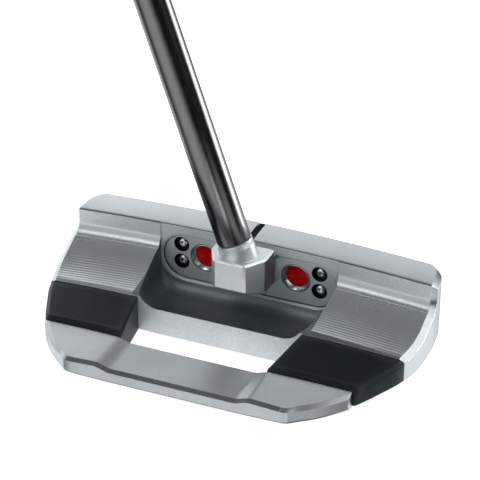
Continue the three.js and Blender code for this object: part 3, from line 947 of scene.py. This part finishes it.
def plate_holes(side, start, screws, weight):
    """Cutters behind the hosel plate for two screws and a weight: (radius, end, sides)."""
    spots = [(SCREW_X, z, *screws) for z in SCREW_Z] + [(WEIGHT_X, WEIGHT_Z, *weight)]
    return [rod(r, r, (side * x, start, z), end, "Y", sides) for x, z, r, end, sides in spots]


BODY_FINISHES = ("milled steel", "blasted steel", "bowl steel", "top steel", "shadow steel")
BOWL_MOUTH_X = 26.5
RECESS_X = 27.0
RECESS_TOP = 20.6


def body_finish(c, n):
    """The finish of a face of the front body, from its middle in mm and its direction."""
    from_wall = c.y - WALL_Y
    below_top = TOP_Z - (c.z + CROWN_TOP * c.x * c.x)
    in_bowl = abs(c.x) < BOWL_MOUTH_X and c.y > SEAM_Y + 0.15 and c.z > 2.5 and n.z > -0.5
    in_recess = abs(c.x) < RECESS_X and c.z > 5
    # painted shade: a dark line along the eased edge above the wall
    if -0.01 < from_wall < 0.5 and n.z > 0.5 and below_top < 0.6:
        return "shadow steel"
    if n.y < -0.8 and abs(from_wall) < 0.05 and c.z > 17:
        return "blasted steel"
    # painted shade: the bowl takes the darker, bluer steel; a narrow band at its front wall takes
    # blasted steel
    if in_bowl and c.y < 7.9:
        return "blasted steel" if c.y > 7.7 else "bowl steel"
    if in_recess and 7.75 < c.y < 8.28 and c.z < RECESS_TOP:
        return "blasted steel"
    if n.y < -0.5 and c.y < SEAM_Y + 0.3 and abs(c.x) < SEAM_X:
        return "blasted steel"
    # painted shade inside the plate recess
    if in_recess and 7.9 < c.y < 12 and n.z < 0.9:
        return "bowl steel"
    if from_wall > -0.1 and c.z > 19:
        return "top steel"
    # painted shade on the roll behind the toe flutes
    if c.x > SEAM_X and c.y < ROLL_Y - 0.2 and n.z > 0.5 and n.x < 0.3:
        return "shadow steel"
    return None


class PUTTER_OT_front_body(bpy.types.Operator):
    """Make the front body with its milled flutes, bowl, recess and feet"""
    bl_idname = "putter.front_body"
    bl_label = "Front body"

    def execute(self, context):
        sizes = context.scene.putter_sizes
        body = body_blank(sizes.flute_pitch / MM, 8)
        node_modifier(body, flute_tree(), {
            "Pitch": sizes.flute_pitch, "Depth": sizes.flute_depth,
            "First": FLUTE_FROM * MM, "Last": (FLUTE_TO + 0.02) * MM,
            "Material": finish(BODY_FINISHES[0])})
        settle(body)
        cut(body, bowl_tool())
        cut(body, plate_tool(0.12, BOWL_Y - 2, PLATE_BACK + GAP))
        cut(body, joined("tool", [foot(side, FOOT_FRONT) for side in (-1, 1)]), "UNION")
        holes = [block(-1.05, 1.05, 6.1, 20.1, TOP_Z - 0.9, TOP_Z + 3.1)]
        for side in (-1, 1):
            holes += plate_holes(side, PLATE_BACK - 1, (TAP_R, 16, 24),
                                 (WEIGHT_THREAD_R, 15.6, 40))
            holes.append(sole_hole(side, FOOT_FRONT))
        cut(body, joined("tool", holes))
        done(body, ["front_body"], "head_steel", *BODY_FINISHES)
        finish_faces(body, BODY_FINISHES, body_finish)
        return {"FINISHED"}


def side_block(side, end):
    """One black side block with its eased edges and the room for its feet."""
    across = spread(0, 1, 9)
    back = spread(0, 1, 10)
    nx = len(across) + 1
    ny = len(back)

    def place(i, j, k):
        rearmost = j == ny
        v = 1 if rearmost else back[j]
        in_front = SEAM_Y - GAP
        in_rear = BLOCK_REAR_Y + GAP
        y = in_front + (in_rear - in_front) * v
        wall_in = SEAM_X - 0.4 - 2.8 * v
        bevel_in = 0.3 + 0.6 * v
        x = wall_in
        for _ in range(4):
            wall_out = half_width(y) + side * OUTLINE_SHIFT - GAP
            if i == 0:
                x = wall_in
            elif i == nx:
                x = wall_out
            else:
                x = wall_in + bevel_in + (wall_out - 1.2 - wall_in - bevel_in) * across[i - 1]
            front = front_seam(x) - GAP
            rear = rear_seam(x) + GAP + (0 if rearmost or k < 3 else BLOCK_EDGE)
            y = front + (rear - front) * v
        floor = sole_z(x, y)
        if k == 0:
            tuck = 0.8 if i == nx else 0
            return (side * (x - tuck), y, floor)
        if k == 1:
            return (side * x, y, floor + 0.8)
        z = block_top(x, y)
        if i == 0 or i == nx:
            z -= 0.3 + 0.7 * v if i == 0 else 1.2
        if rearmost:
            z = min(z, block_top(x, y) - BLOCK_EDGE - 0.1)
        if k == 2:
            return (side * x, y, z - 0.35)
        return (side * x, y, z)

    obj = shell("side_block_%s_black" % end, nx, ny, 3, place)
    for spot in (FOOT_FRONT, FOOT_REAR):
        cut(obj, foot(side, spot, GAP))
        cut(obj, sole_hole(side, spot))
    return obj


class PUTTER_OT_side_blocks(bpy.types.Operator):
    """Make the two black side blocks"""
    bl_idname = "putter.side_blocks"
    bl_label = "Side blocks"

    def execute(self, context):
        for side, end in ENDS:
            done(side_block(side, end), ["side_block_" + end], "black_aluminium",
                 "black aluminium", degrees=24)
        return {"FINISHED"}


class PUTTER_OT_rear_rail(bpy.types.Operator):
    """Make the rear rail with its stepped top and chamfered rear edge"""
    bl_idname = "putter.rear_rail"
    bl_label = "Rear rail"

    def execute(self, context):
        half = spread(0, RAIL_STEP_IN, 8) + spread(RAIL_STEP_IN, RAIL_STEP_OUT, 13)[1:]
        half += spread(RAIL_STEP_OUT, RAIL_TURN_X, 5)[1:] + spread(RAIL_TURN_X, 44.4, 22)[1:]
        last = len(half) - 1
        nx = 2 * last

        def place(i, j, k):
            n = abs(i - last)
            side = -1 if i < last else 1
            x = side * half[n]
            rim = abs(x - OUTLINE_SHIFT)
            outer = rail_rear(rim)
            turn = clamp((rim - 30) / 5, 0, 1)
            inner = min(rail_rear(rim + 0.75 * turn) + RAIL_EDGE, rear_seam(x) - 0.12)
            front = rear_seam(x)
            wall = min(outer, front - 0.2)
            top = rail_top(x)
            if k < 3:
                foot_y = wall + (1.0, 0.12, 0.0)[k]
                y = front + (foot_y - front) * (0, 0.5, 0.85, 1)[j]
                floor = sole_z(x, y)
                return (x, y, (floor, floor + 0.7, top - RAIL_DROP)[k])
            return ((x, front, top), (x, (front + inner) / 2, top), (x, inner, top),
                    (x, wall + 0.04, top - RAIL_DROP + 0.03))[j]

        rail = shell("rear_rail_steel", nx, 3, 3, place)
        cut(rail, joined("tool", [foot(side, FOOT_REAR) for side in (-1, 1)]), "UNION")
        cut(rail, joined("tool", [sole_hole(side, FOOT_REAR) for side in (-1, 1)]))
        finishes = ("rail steel", "shadow steel")
        done(rail, ["rear_rail"], "rail_steel", *finishes, degrees=18)

        def chamfer(c, n):
            # painted shade on the rear chamfer of the rail, short of its turned ends
            rearward = n.z > 0.4 and n.y < -0.25 and abs(n.x) < 0.4
            return "shadow steel" if rearward and abs(c.x) < RAIL_TURN_X - 0.2 else None

        finish_faces(rail, finishes, chamfer)
        return {"FINISHED"}


def hosel_block(edge):
    """The faceted block that carries the shaft boss."""
    plan = [(-4.8, -5.8), (4.3, -5.8), (8.3, 0.0), (8.3, 6.1), (-7.9, 6.1), (-7.9, 0.2)]
    obj = loft("tool", [[(x, y, HOSEL_TOP - 10.6) for x, y in plan],
                        [(x, y, HOSEL_TOP) for x, y in plan]])
    bm = bmesh.new()
    bm.from_mesh(obj.data)
    bmesh.ops.bisect_plane(bm, geom=bm.verts[:] + bm.edges[:] + bm.faces[:],
                           plane_co=Vector((0, -5.525, 14.4)) * MM,
                           plane_no=Vector((0, -0.358, -0.934)), clear_outer=True)
    bmesh.ops.holes_fill(bm, edges=[e for e in bm.edges if e.is_boundary], sides=12)
    sharp = [e for e in bm.edges if e.calc_face_angle(0) > 0.3]
    bmesh.ops.bevel(bm, geom=sharp, offset=edge, segments=1, affect="EDGES")
    bmesh.ops.recalc_face_normals(bm, faces=bm.faces)
    bm.to_mesh(obj.data)
    bm.free()
    return obj


def boss():
    """The boss that flares into the block, with its fine turning marks, and the post."""
    lean = math.radians(90 - LIE)
    rings = []

    def ring(s, radius, tilt):
        x0, z0 = AXIS_X - s * math.sin(lean), s * math.cos(lean)
        rings.append([(x0 + x * math.cos(tilt), y, z0 + x * math.sin(tilt))
                      for x, y, _ in circle(radius, ROUND_SIDES)])

    def level(z):
        return z / math.cos(lean)

    ring(level(HOSEL_TOP - 1.2), 5.6, 0)
    ring(level(HOSEL_TOP + 0.3), 5.6, 0)
    ring(level(HOSEL_TOP + 0.42), 5.5, 0)
    ring(level(HOSEL_TOP + 0.45), 5.38, 0)
    for t in spread(0.12, 1, 8):
        low, high = level(HOSEL_TOP + 0.45), BOSS_FROM + 2.5
        ring(low + (high - low) * t, 5.02 + 0.34 * (1 - t) ** 2.2, lean * t)
    for n in range(10):
        ring(BOSS_FROM + 2.56 + 1.0 * n / 9, 5.02 - 0.08 * n / 9 - (0.05 if n % 2 else 0), lean)
    for up, radius in ((3.62, 4.84), (3.72, 4.82), (3.78, 4.92), (4.08, 4.92)):
        ring(BOSS_FROM + up, radius, lean)
    ring(BOSS_FROM + BOSS_HEIGHT, 4.82, lean)
    ring(BOSS_FROM + BOSS_HEIGHT, POST_R, lean)
    ring(BOSS_FROM + POST_LENGTH - 0.6, POST_R, lean)
    ring(BOSS_FROM + POST_LENGTH, POST_R - 0.6, lean)
    return loft("tool", rings)


HOSEL_FINISHES = ("hosel steel", "blasted steel", "bore steel", "turned steel", "shadow steel")


def hosel_finish(c, n):
    """The finish of a face of the hosel, from its middle in mm and its direction."""
    screw_z = SCREW_Z[0] if c.z > 14 else SCREW_Z[1]
    from_screw = math.dist((abs(c.x), c.z), (SCREW_X, screw_z))
    in_plate = PLATE_Y + 0.02 < c.y < PLATE_BACK - 0.1 and abs(c.x) > 17
    # the walls of the screw bores are made very dark
    if in_plate and from_screw < SCREW_BORE_R + 0.05:
        return "bore steel"
    if c.y > PLATE_Y - 0.1 and c.z < 20.2:
        return "blasted steel"
    if c.z > HOSEL_TOP + 0.1:
        return "turned steel"
    # painted shade on the side faces of the block
    if n.x > 0.9 and c.y < 6.5 and abs(c.x) < 9:
        return "shadow steel"
    return None


class PUTTER_OT_hosel(bpy.types.Operator):
    """Make the hosel: plate, faceted block, boss and post"""
    bl_idname = "putter.hosel"
    bl_label = "Hosel"

    def execute(self, context):
        rings = []
        for y, spare in ((PLATE_Y, -0.35), (PLATE_Y + 0.1, -0.12), (PLATE_Y + 0.35, 0.0),
                         (PLATE_BACK, 0.0)):
            outline = round_ended(PLATE_HALF, PLATE_R + spare, PLATE_Z, 28)
            rings.append([(x, y, z) for x, z in outline])
        piece = loft("hosel_steel", rings)
        cut(piece, block(-8.8, 8.8, 6.6, 9.4, 12.5, 19.5), "UNION")
        cut(piece, block(-7.8, 8.2, 4.7, 7.3, 12.7, 21.0), "UNION")
        cut(piece, hosel_block(context.scene.putter_sizes.edge_break), "UNION")
        wide = ((SCREW_BORE_R, 10.4, 40), (WEIGHT_R + 0.25, 10.9, 64))
        narrow = ((TAP_R, 12, 24), (WEIGHT_THREAD_R, 12, 40))
        for start, sizes in ((7, wide), (10, narrow)):
            cut(piece, joined("tool", plate_holes(-1, start, *sizes)
                              + plate_holes(1, start, *sizes)))
        cut(piece, boss(), "UNION")
        done(piece, ["hosel"], "hosel_steel", *HOSEL_FINISHES, degrees=14)
        finish_faces(piece, HOSEL_FINISHES, hosel_finish)
        return {"FINISHED"}


def button_screw():
    """A domed screw with a hexagon socket, about its own axis, looking up."""
    r = SCREW_HEAD_R
    rows = [(0, -5.25), (0.8, -5.25), (1.05, -4.95), (1.05, 0), (r, 0), (r, 0.45)]
    for degrees in spread(8, 62, 8):
        a = math.radians(degrees)
        rows.append((r * math.cos(a) * 0.98 + 0.02 * r, 0.45 + 0.9 * math.sin(a)))
    rows += [(0, 1.25)]
    screw = lathe("hosel_screw_piece", rows, 48)
    socket = lathe("tool", [(0.78, 0.35), (0.78, 2.2)], 6)
    return cut(screw, socket)


class PUTTER_OT_hosel_screws(bpy.types.Operator):
    """Set the four domed screws into the hosel plate"""
    bl_idname = "putter.hosel_screws"
    bl_label = "Hosel screws"

    def execute(self, context):
        places = []
        nodes = []
        for side, end in ENDS:
            for z, level, twist in ((SCREW_Z[0], "upper", 0.3), (SCREW_Z[1], "lower", 0.9)):
                places.append(((side * SCREW_X, 10.2, z), (math.pi / 2, twist + side * 0.2, 0)))
                nodes.append("hosel_screw_%s_%s" % (end, level))
        screws = repeated("hosel_screws_chrome", button_screw(), places, finish("screw chrome"))
        done(screws, nodes, "screw_chrome", "screw chrome", degrees=28)
        return {"FINISHED"}


class PUTTER_OT_weights(bpy.types.Operator):
    """Make the two threaded weights: a bright cup and a spun red disc in each"""
    bl_idname = "putter.weights"
    bl_label = "Weights"

    def execute(self, context):
        for side, end in ENDS:
            place = shift(side * WEIGHT_X, 0, WEIGHT_Z) @ LOOK_BACK
            rim = -8.6
            seat = -10.6
            tail = -15.3
            rows = [(0, tail), (WEIGHT_R - 0.75, tail), (WEIGHT_R - 0.4, tail + 0.3),
                    (WEIGHT_R - 0.4, seat), (WEIGHT_R, seat), (WEIGHT_R, rim - 0.14),
                    (WEIGHT_R - 0.06, rim - 0.04), (WEIGHT_R - 0.16, rim),
                    (WEIGHT_R - 0.24, rim), (WEIGHT_R - 0.32, rim - 0.05),
                    (DISC_R + 0.16, -9.5), (DISC_R + 0.08, -9.62), (DISC_R + 0.08, seat),
                    (0, seat)]
            cup = move(lathe("weight_%s_chrome" % end, rows, ROUND_SIDES), place)
            clean(cup)
            done(cup, ["weight_" + end], "weight_chrome", "cup chrome")
            back = -10.5
            dish = -10.02
            rows = [(0, back), (DISC_R, back), (DISC_R, -9.98), (DISC_R - 0.05, -9.9),
                    (DISC_R - 0.22, -9.88), (DISC_R - 0.42, dish)]
            rows += [(r, dish - 0.05 * (1 - r / 2.7)) for r in spread(2.7, 0.1, 10)]
            disc = lathe("weight_disc_%s_red" % end, rows, ROUND_SIDES)
            spin_map(disc)
            move(disc, place)
            done(disc, ["weight_disc_" + end], "red_disc", "red disc")
        return {"FINISHED"}


def spin_map(obj):
    """A map whose first direction runs round the axis and second from the middle out."""
    layer = obj.data.uv_layers.new(name="spin")
    for face in obj.data.polygons:
        middle = math.atan2(face.center.y, face.center.x)
        for loop in face.loop_indices:
            co = obj.data.vertices[obj.data.loops[loop].vertex_index].co
            angle = math.atan2(co.y, co.x)
            while angle - middle > math.pi:
                angle -= 2 * math.pi
            while middle - angle > math.pi:
                angle += 2 * math.pi
            layer.data[loop].uv = (angle / (2 * math.pi), math.hypot(co.x, co.y) / (4 * MM))


class PUTTER_OT_sole_screws(bpy.types.Operator):
    """Set the four countersunk screws into the sole"""
    bl_idname = "putter.sole_screws"
    bl_label = "Sole screws"

    def execute(self, context):
        rows = [(0, 0.25), (2.2, 0.25), (2.3, 0.33), (1.2, 1.3), (1.2, 5.2), (0.9, 5.5),
                (0, 5.5)]
        screw = lathe("sole_screw_piece", rows, 48)
        cut(screw, lathe("tool", [(0.8, -0.5), (0.8, 0.85)], 6))
        places = []
        nodes = []
        for side, end in ENDS:
            for spot, row in ((FOOT_FRONT, "front"), (FOOT_REAR, "rear")):
                x, y = spot["screw"]
                places.append(((side * x, y, sole_z(x, y)), (0, 0, 0.4 * side + y)))
                nodes.append("sole_screw_%s_%s" % (row, end))
        screws = repeated("sole_screws_chrome", screw, places, finish("bright chrome"))
        done(screws, nodes, "screw_chrome", "bright chrome", degrees=28)
        return {"FINISHED"}


class PUTTER_OT_sight_line(bpy.types.Operator):
    """Fill the sight line groove with black paint"""
    bl_idname = "putter.sight_line"
    bl_label = "Sight line"

    def execute(self, context):
        xs = (-0.8, -0.72, 0.0, 0.72, 0.8)
        sag = (0.03, 0.0, 0.05, 0.0, 0.03)
        ys = spread(7.95, 17.55, 9)

        def place(i, j, k):
            z = TOP_Z - 0.7 + (0.45 - sag[i] if k else 0)
            return (xs[i], ys[j], z)

        fill = shell("sight_line_paint", 4, 8, 1, place)
        done(fill, ["sight_line_fill"], "paint_fill", "paint fill")
        return {"FINISHED"}


def shaft_radius(s):
    """Radius of the shaft at a distance from the ground along it."""
    t = clamp((s - TAPER_FROM) / (TAPER_TO - TAPER_FROM), 0, 1)
    return TIP_R + (BUTT_R - TIP_R) * t


class PUTTER_OT_shaft(bpy.types.Operator):
    """Make the tapered black shaft"""
    bl_idname = "putter.shaft"
    bl_label = "Shaft"

    def execute(self, context):
        start = BOSS_FROM + BOSS_HEIGHT + 0.25
        end = CLUB_LENGTH - CAP_THICK - GAP
        marks = [start + 0.3, start + 40, 150] + spread(TAPER_FROM, TAPER_TO, 12) + [700, end]
        outside = [(TIP_R - 0.25, start), (TIP_R - 0.08, start + 0.08)]
        outside += [(shaft_radius(s), s) for s in marks]
        inside = [(shaft_radius(s) - TUBE_WALL, s) for s in reversed(marks)]
        inside += [(TIP_R - TUBE_WALL, start)]
        tube = move(lathe("shaft_tube", outside + inside, 128, closed=True), ON_SHAFT)
        clean(tube)
        done(tube, ["shaft"], "shaft_black", "shaft black")
        return {"FINISHED"}


GRIP_FROM = CLUB_LENGTH - CAP_THICK - GRIP_LENGTH
grip_radius = smooth_curve([(0, 8.9), (3, 9.3), (40, 9.7), (80, 10.2), (120, 10.7), (155, 11.1),
                            (185, 12.2), (215, 13.4), (245, 13.9), (262, 13.8),
                            (GRIP_LENGTH, 13.2)])


def grip_flat(s):
    """Distance of the flat front of the grip from the shaft axis."""
    return 9.15 + 0.9 * clamp(s / GRIP_LENGTH, 0, 1)


class PUTTER_OT_grip(bpy.types.Operator):
    """Make the pistol grip with its raised pips and its end cap"""
    bl_idname = "putter.grip"
    bl_label = "Grip"

    def execute(self, context):
        rings = []
        for s in [0, 0.3, 1.0] + spread(3, GRIP_LENGTH - 1, 70) + [GRIP_LENGTH]:
            r = grip_radius(s) - (0.5 if s == 0 else 0.15 if s < 0.5 else 0)
            r -= 0.4 if s == GRIP_LENGTH else 0
            flat = grip_flat(s)
            ring = []
            for x, y, z in circle(r, ROUND_SIDES, GRIP_FROM + s):
                over = max(0.0, x - flat + 0.35)
                x -= over if over > 0.7 else over * over / 1.4
                ring.append((x, y, z))
            rings.append(ring)
        bores = [circle(shaft_radius(GRIP_FROM + s) + 0.2, ROUND_SIDES, GRIP_FROM + s)
                 for s in reversed(spread(0, GRIP_LENGTH, 20))]
        sleeve = move(loft("grip_rubber_sleeve", rings + bores, closed=True), ON_SHAFT)
        clean(sleeve)
        done(sleeve, ["grip"], "grip_rubber", "grip rubber")
        done(self.pips(), ["grip"], "grip_rubber", "grip rubber", degrees=60)
        base = CLUB_LENGTH - CAP_THICK
        tube = BUTT_R - TUBE_WALL
        rows = [(1.2, base - 6), (tube - 0.5, base - 6), (tube - 0.3, base + GAP),
                (12.5, base + GAP), (12.85, base + 0.5), (12.9, base + 1.0), (12.6, base + 1.6),
                (12.1, base + 1.8), (11.0, base + 1.9), (10.4, base + 1.7), (9.8, base + 1.96),
                (8, base + 2.4), (4, base + 2.58), (1.4, CLUB_LENGTH), (1.2, CLUB_LENGTH - 0.2)]
        cap = lathe("grip_cap_rubber", rows, ROUND_SIDES, closed=True)
        for vert in cap.data.vertices:
            if vert.co.z > base * MM:
                vert.co.x = min(vert.co.x, 9.9 * MM)
        move(cap, ON_SHAFT)
        clean(cap)
        done(cap, ["grip_cap"], "cap_rubber", "cap rubber")
        return {"FINISHED"}

    def pips(self):
        """Small raised pips in staggered rows round the back of the grip."""
        pip = lathe("grip_pip", [(0.62, -0.25), (0.55, 0.0), (0.42, 0.12), (0.2, 0.17), (0, 0.18)],
                    10)
        places = []
        for row, s in enumerate(spread(14, GRIP_LENGTH - 16, 78)):
            r = grip_radius(s)
            for n in range(-8, 9):
                a = math.pi + (n + 0.5 * (row % 2)) * 0.27
                if abs(a - math.pi) > 2.2 or r * math.cos(a) > grip_flat(s) - 1:
                    continue
                p = ON_SHAFT @ Vector((r * math.cos(a) * MM, r * math.sin(a) * MM,
                                       (GRIP_FROM + s) * MM))
                out = ON_SHAFT.to_3x3() @ Vector((math.cos(a), math.sin(a), 0))
                turn = out.to_track_quat("Z", "Y").to_euler()
                places.append((tuple(p / MM), tuple(turn)))
        return repeated("grip_rubber_pips", pip, places, finish("grip rubber"))


CAMERA_AT = (0.245361, -0.574203, 0.400048)
CAMERA_AZIMUTH = 23.083
CAMERA_ELEVATION = 30.821
CAMERA_LENS = 202.39
FLOOR_HALF = 20000
STUDIO_GLOW = 0.02

# Soft lights of the studio: direction, how wide they are in degrees, soft edge, brightness.
SOFT_LIGHTS = [
    ((-0.22, -0.85, -0.43), 33, 46, 1.12),
    ((-0.30, 0.86, 0.33), 25, 24, 0.86),
    ((0.60, 0.52, 0.54), 26, 18, 1.3),
    ((0.713, 0.685, -0.151), 14, 12, 6.0),
    ((0.50, 0.66, -0.56), 30, 24, 1.0),
    ((0.79, -0.337, -0.512), 18, 14, 0.8),
    ((0.465, -0.711, -0.512), 9, 8, 2.2),
    ((0.90, -0.10, 0.40), 16, 12, 1.2),
    ((-0.85, 0.45, -0.02), 34, 26, 1.0),
    ((-0.92, 0.20, 0.31), 16, 14, 0.6),
    ((-0.80, 0.20, -0.52), 20, 18, 0.85),
    ((0.62, -0.18, 0.76), 18, 18, 0.75),
    ((-0.30, -0.75, 0.60), 26, 22, 0.5),
    ((-0.337, -0.51, 0.79), 10, 8, 1.7),
    ((0.67, 0.07, 0.72), 12, 10, 0.8),
    ((-0.55, 0.15, 0.82), 36, 30, 0.2),
    ((0.10, 0.20, 0.97), 30, 26, 0.04),
]


class PUTTER_OT_stage(bpy.types.Operator):
    """Set the camera, the plain pale floor and the soft studio light"""
    bl_idname = "putter.stage"
    bl_label = "Camera, floor and light"

    def execute(self, context):
        self.camera(context)
        self.floor(context)
        self.light(context)
        return {"FINISHED"}

    def camera(self, context):
        a, e = math.radians(CAMERA_AZIMUTH), math.radians(CAMERA_ELEVATION)
        right = Vector((math.cos(a), math.sin(a), 0))
        up = Vector((-math.sin(a) * math.sin(e), math.cos(a) * math.sin(e), math.cos(e)))
        back = Vector((math.sin(a) * math.cos(e), -math.cos(a) * math.cos(e), math.sin(e)))
        data = bpy.data.cameras.new("camera")
        data.sensor_width = 36
        data.lens = CAMERA_LENS
        data.clip_start = 0.01
        data.clip_end = 50
        camera = bpy.data.objects.new("camera", data)
        matrix = Matrix((right, up, back)).transposed().to_4x4()
        matrix.translation = Vector(CAMERA_AT)
        camera.matrix_world = matrix
        context.scene.collection.objects.link(camera)
        context.scene.camera = camera
        context.scene.view_settings.view_transform = "Standard"

    def floor(self, context):
        z = -context.scene.putter_sizes.sole_gap / MM
        corners = [(x * FLOOR_HALF, y * FLOOR_HALF, z)
                   for x, y in ((-1, -1), (1, -1), (1, 1), (-1, 1))]
        floor = new_object("floor", corners, [(0, 1, 2, 3)])
        material, tree, shader, _ = new_material("pale_floor")
        tree.feed(shader, Base_Color=(*context.scene.putter_finishes.floor, 1), Roughness=0.9,
                  Specular_IOR_Level=0.0, Emission_Color=(1, 1, 1, 1), Emission_Strength=0.85)
        floor.data.materials.append(material)
        floor.visible_glossy = False

    def light(self, context):
        world = bpy.data.worlds.new("studio")
        world.use_nodes = True
        tree = Tree(world.node_tree)
        ground = world.node_tree.nodes["Background"]
        where = tree.add("ShaderNodeTexCoord")
        total = STUDIO_GLOW
        for direction, width, soft, bright in SOFT_LIGHTS:
            dot = tree.add("ShaderNodeVectorMath", operation="DOT_PRODUCT")
            tree.link(where.outputs["Generated"], dot.inputs[0])
            dot.inputs[1].default_value = Vector(direction).normalized()
            edge = tree.add("ShaderNodeMapRange", interpolation_type="SMOOTHSTEP")
            tree.feed(edge, From_Min=math.radians(width + soft / 2),
                      From_Max=math.radians(width - soft / 2), To_Min=0, To_Max=bright,
                      Value=tree.math("ARCCOSINE", dot.outputs["Value"]))
            total = tree.math("ADD", edge.outputs[0], total)
        tree.feed(ground, Color=(1.0, 1.0, 1.0, 1), Strength=total)
        context.scene.world = world


class PUTTER_PT_panel(bpy.types.Panel):
    """Lists every step of making the putter"""
    bl_idname = "PUTTER_PT_panel"
    bl_label = "Mallet putter"
    bl_space_type = "VIEW_3D"
    bl_region_type = "UI"
    bl_category = "Putter"

    def draw(self, context):
        column = self.layout.column()
        for group in (context.scene.putter_sizes, context.scene.putter_finishes):
            for name in group.__annotations__:
                column.prop(group, name)
        for step in STEPS:
            column.operator(step.bl_idname)


STEPS = (
    PUTTER_OT_stage,
    PUTTER_OT_front_body,
    PUTTER_OT_side_blocks,
    PUTTER_OT_rear_rail,
    PUTTER_OT_hosel,
    PUTTER_OT_hosel_screws,
    PUTTER_OT_weights,
    PUTTER_OT_sole_screws,
    PUTTER_OT_sight_line,
    PUTTER_OT_shaft,
    PUTTER_OT_grip,
)
CLASSES = (PutterSizes, PutterFinishes, *STEPS, PUTTER_PT_panel)


def register():
    """Makes the steps and their settings known to Blender."""
    for cls in CLASSES:
        bpy.utils.register_class(cls)
    bpy.types.Scene.putter_sizes = bpy.props.PointerProperty(type=PutterSizes)
    bpy.types.Scene.putter_finishes = bpy.props.PointerProperty(type=PutterFinishes)


def unregister():
    """Takes the steps and their settings out again."""
    del bpy.types.Scene.putter_finishes
    del bpy.types.Scene.putter_sizes
    for cls in reversed(CLASSES):
        bpy.utils.unregister_class(cls)


def main():
    """Makes every piece in order."""
    register()
    for step in STEPS:
        group, name = step.bl_idname.split(".")
        getattr(getattr(bpy.ops, group), name)()


if __name__ == "__main__":
    main()
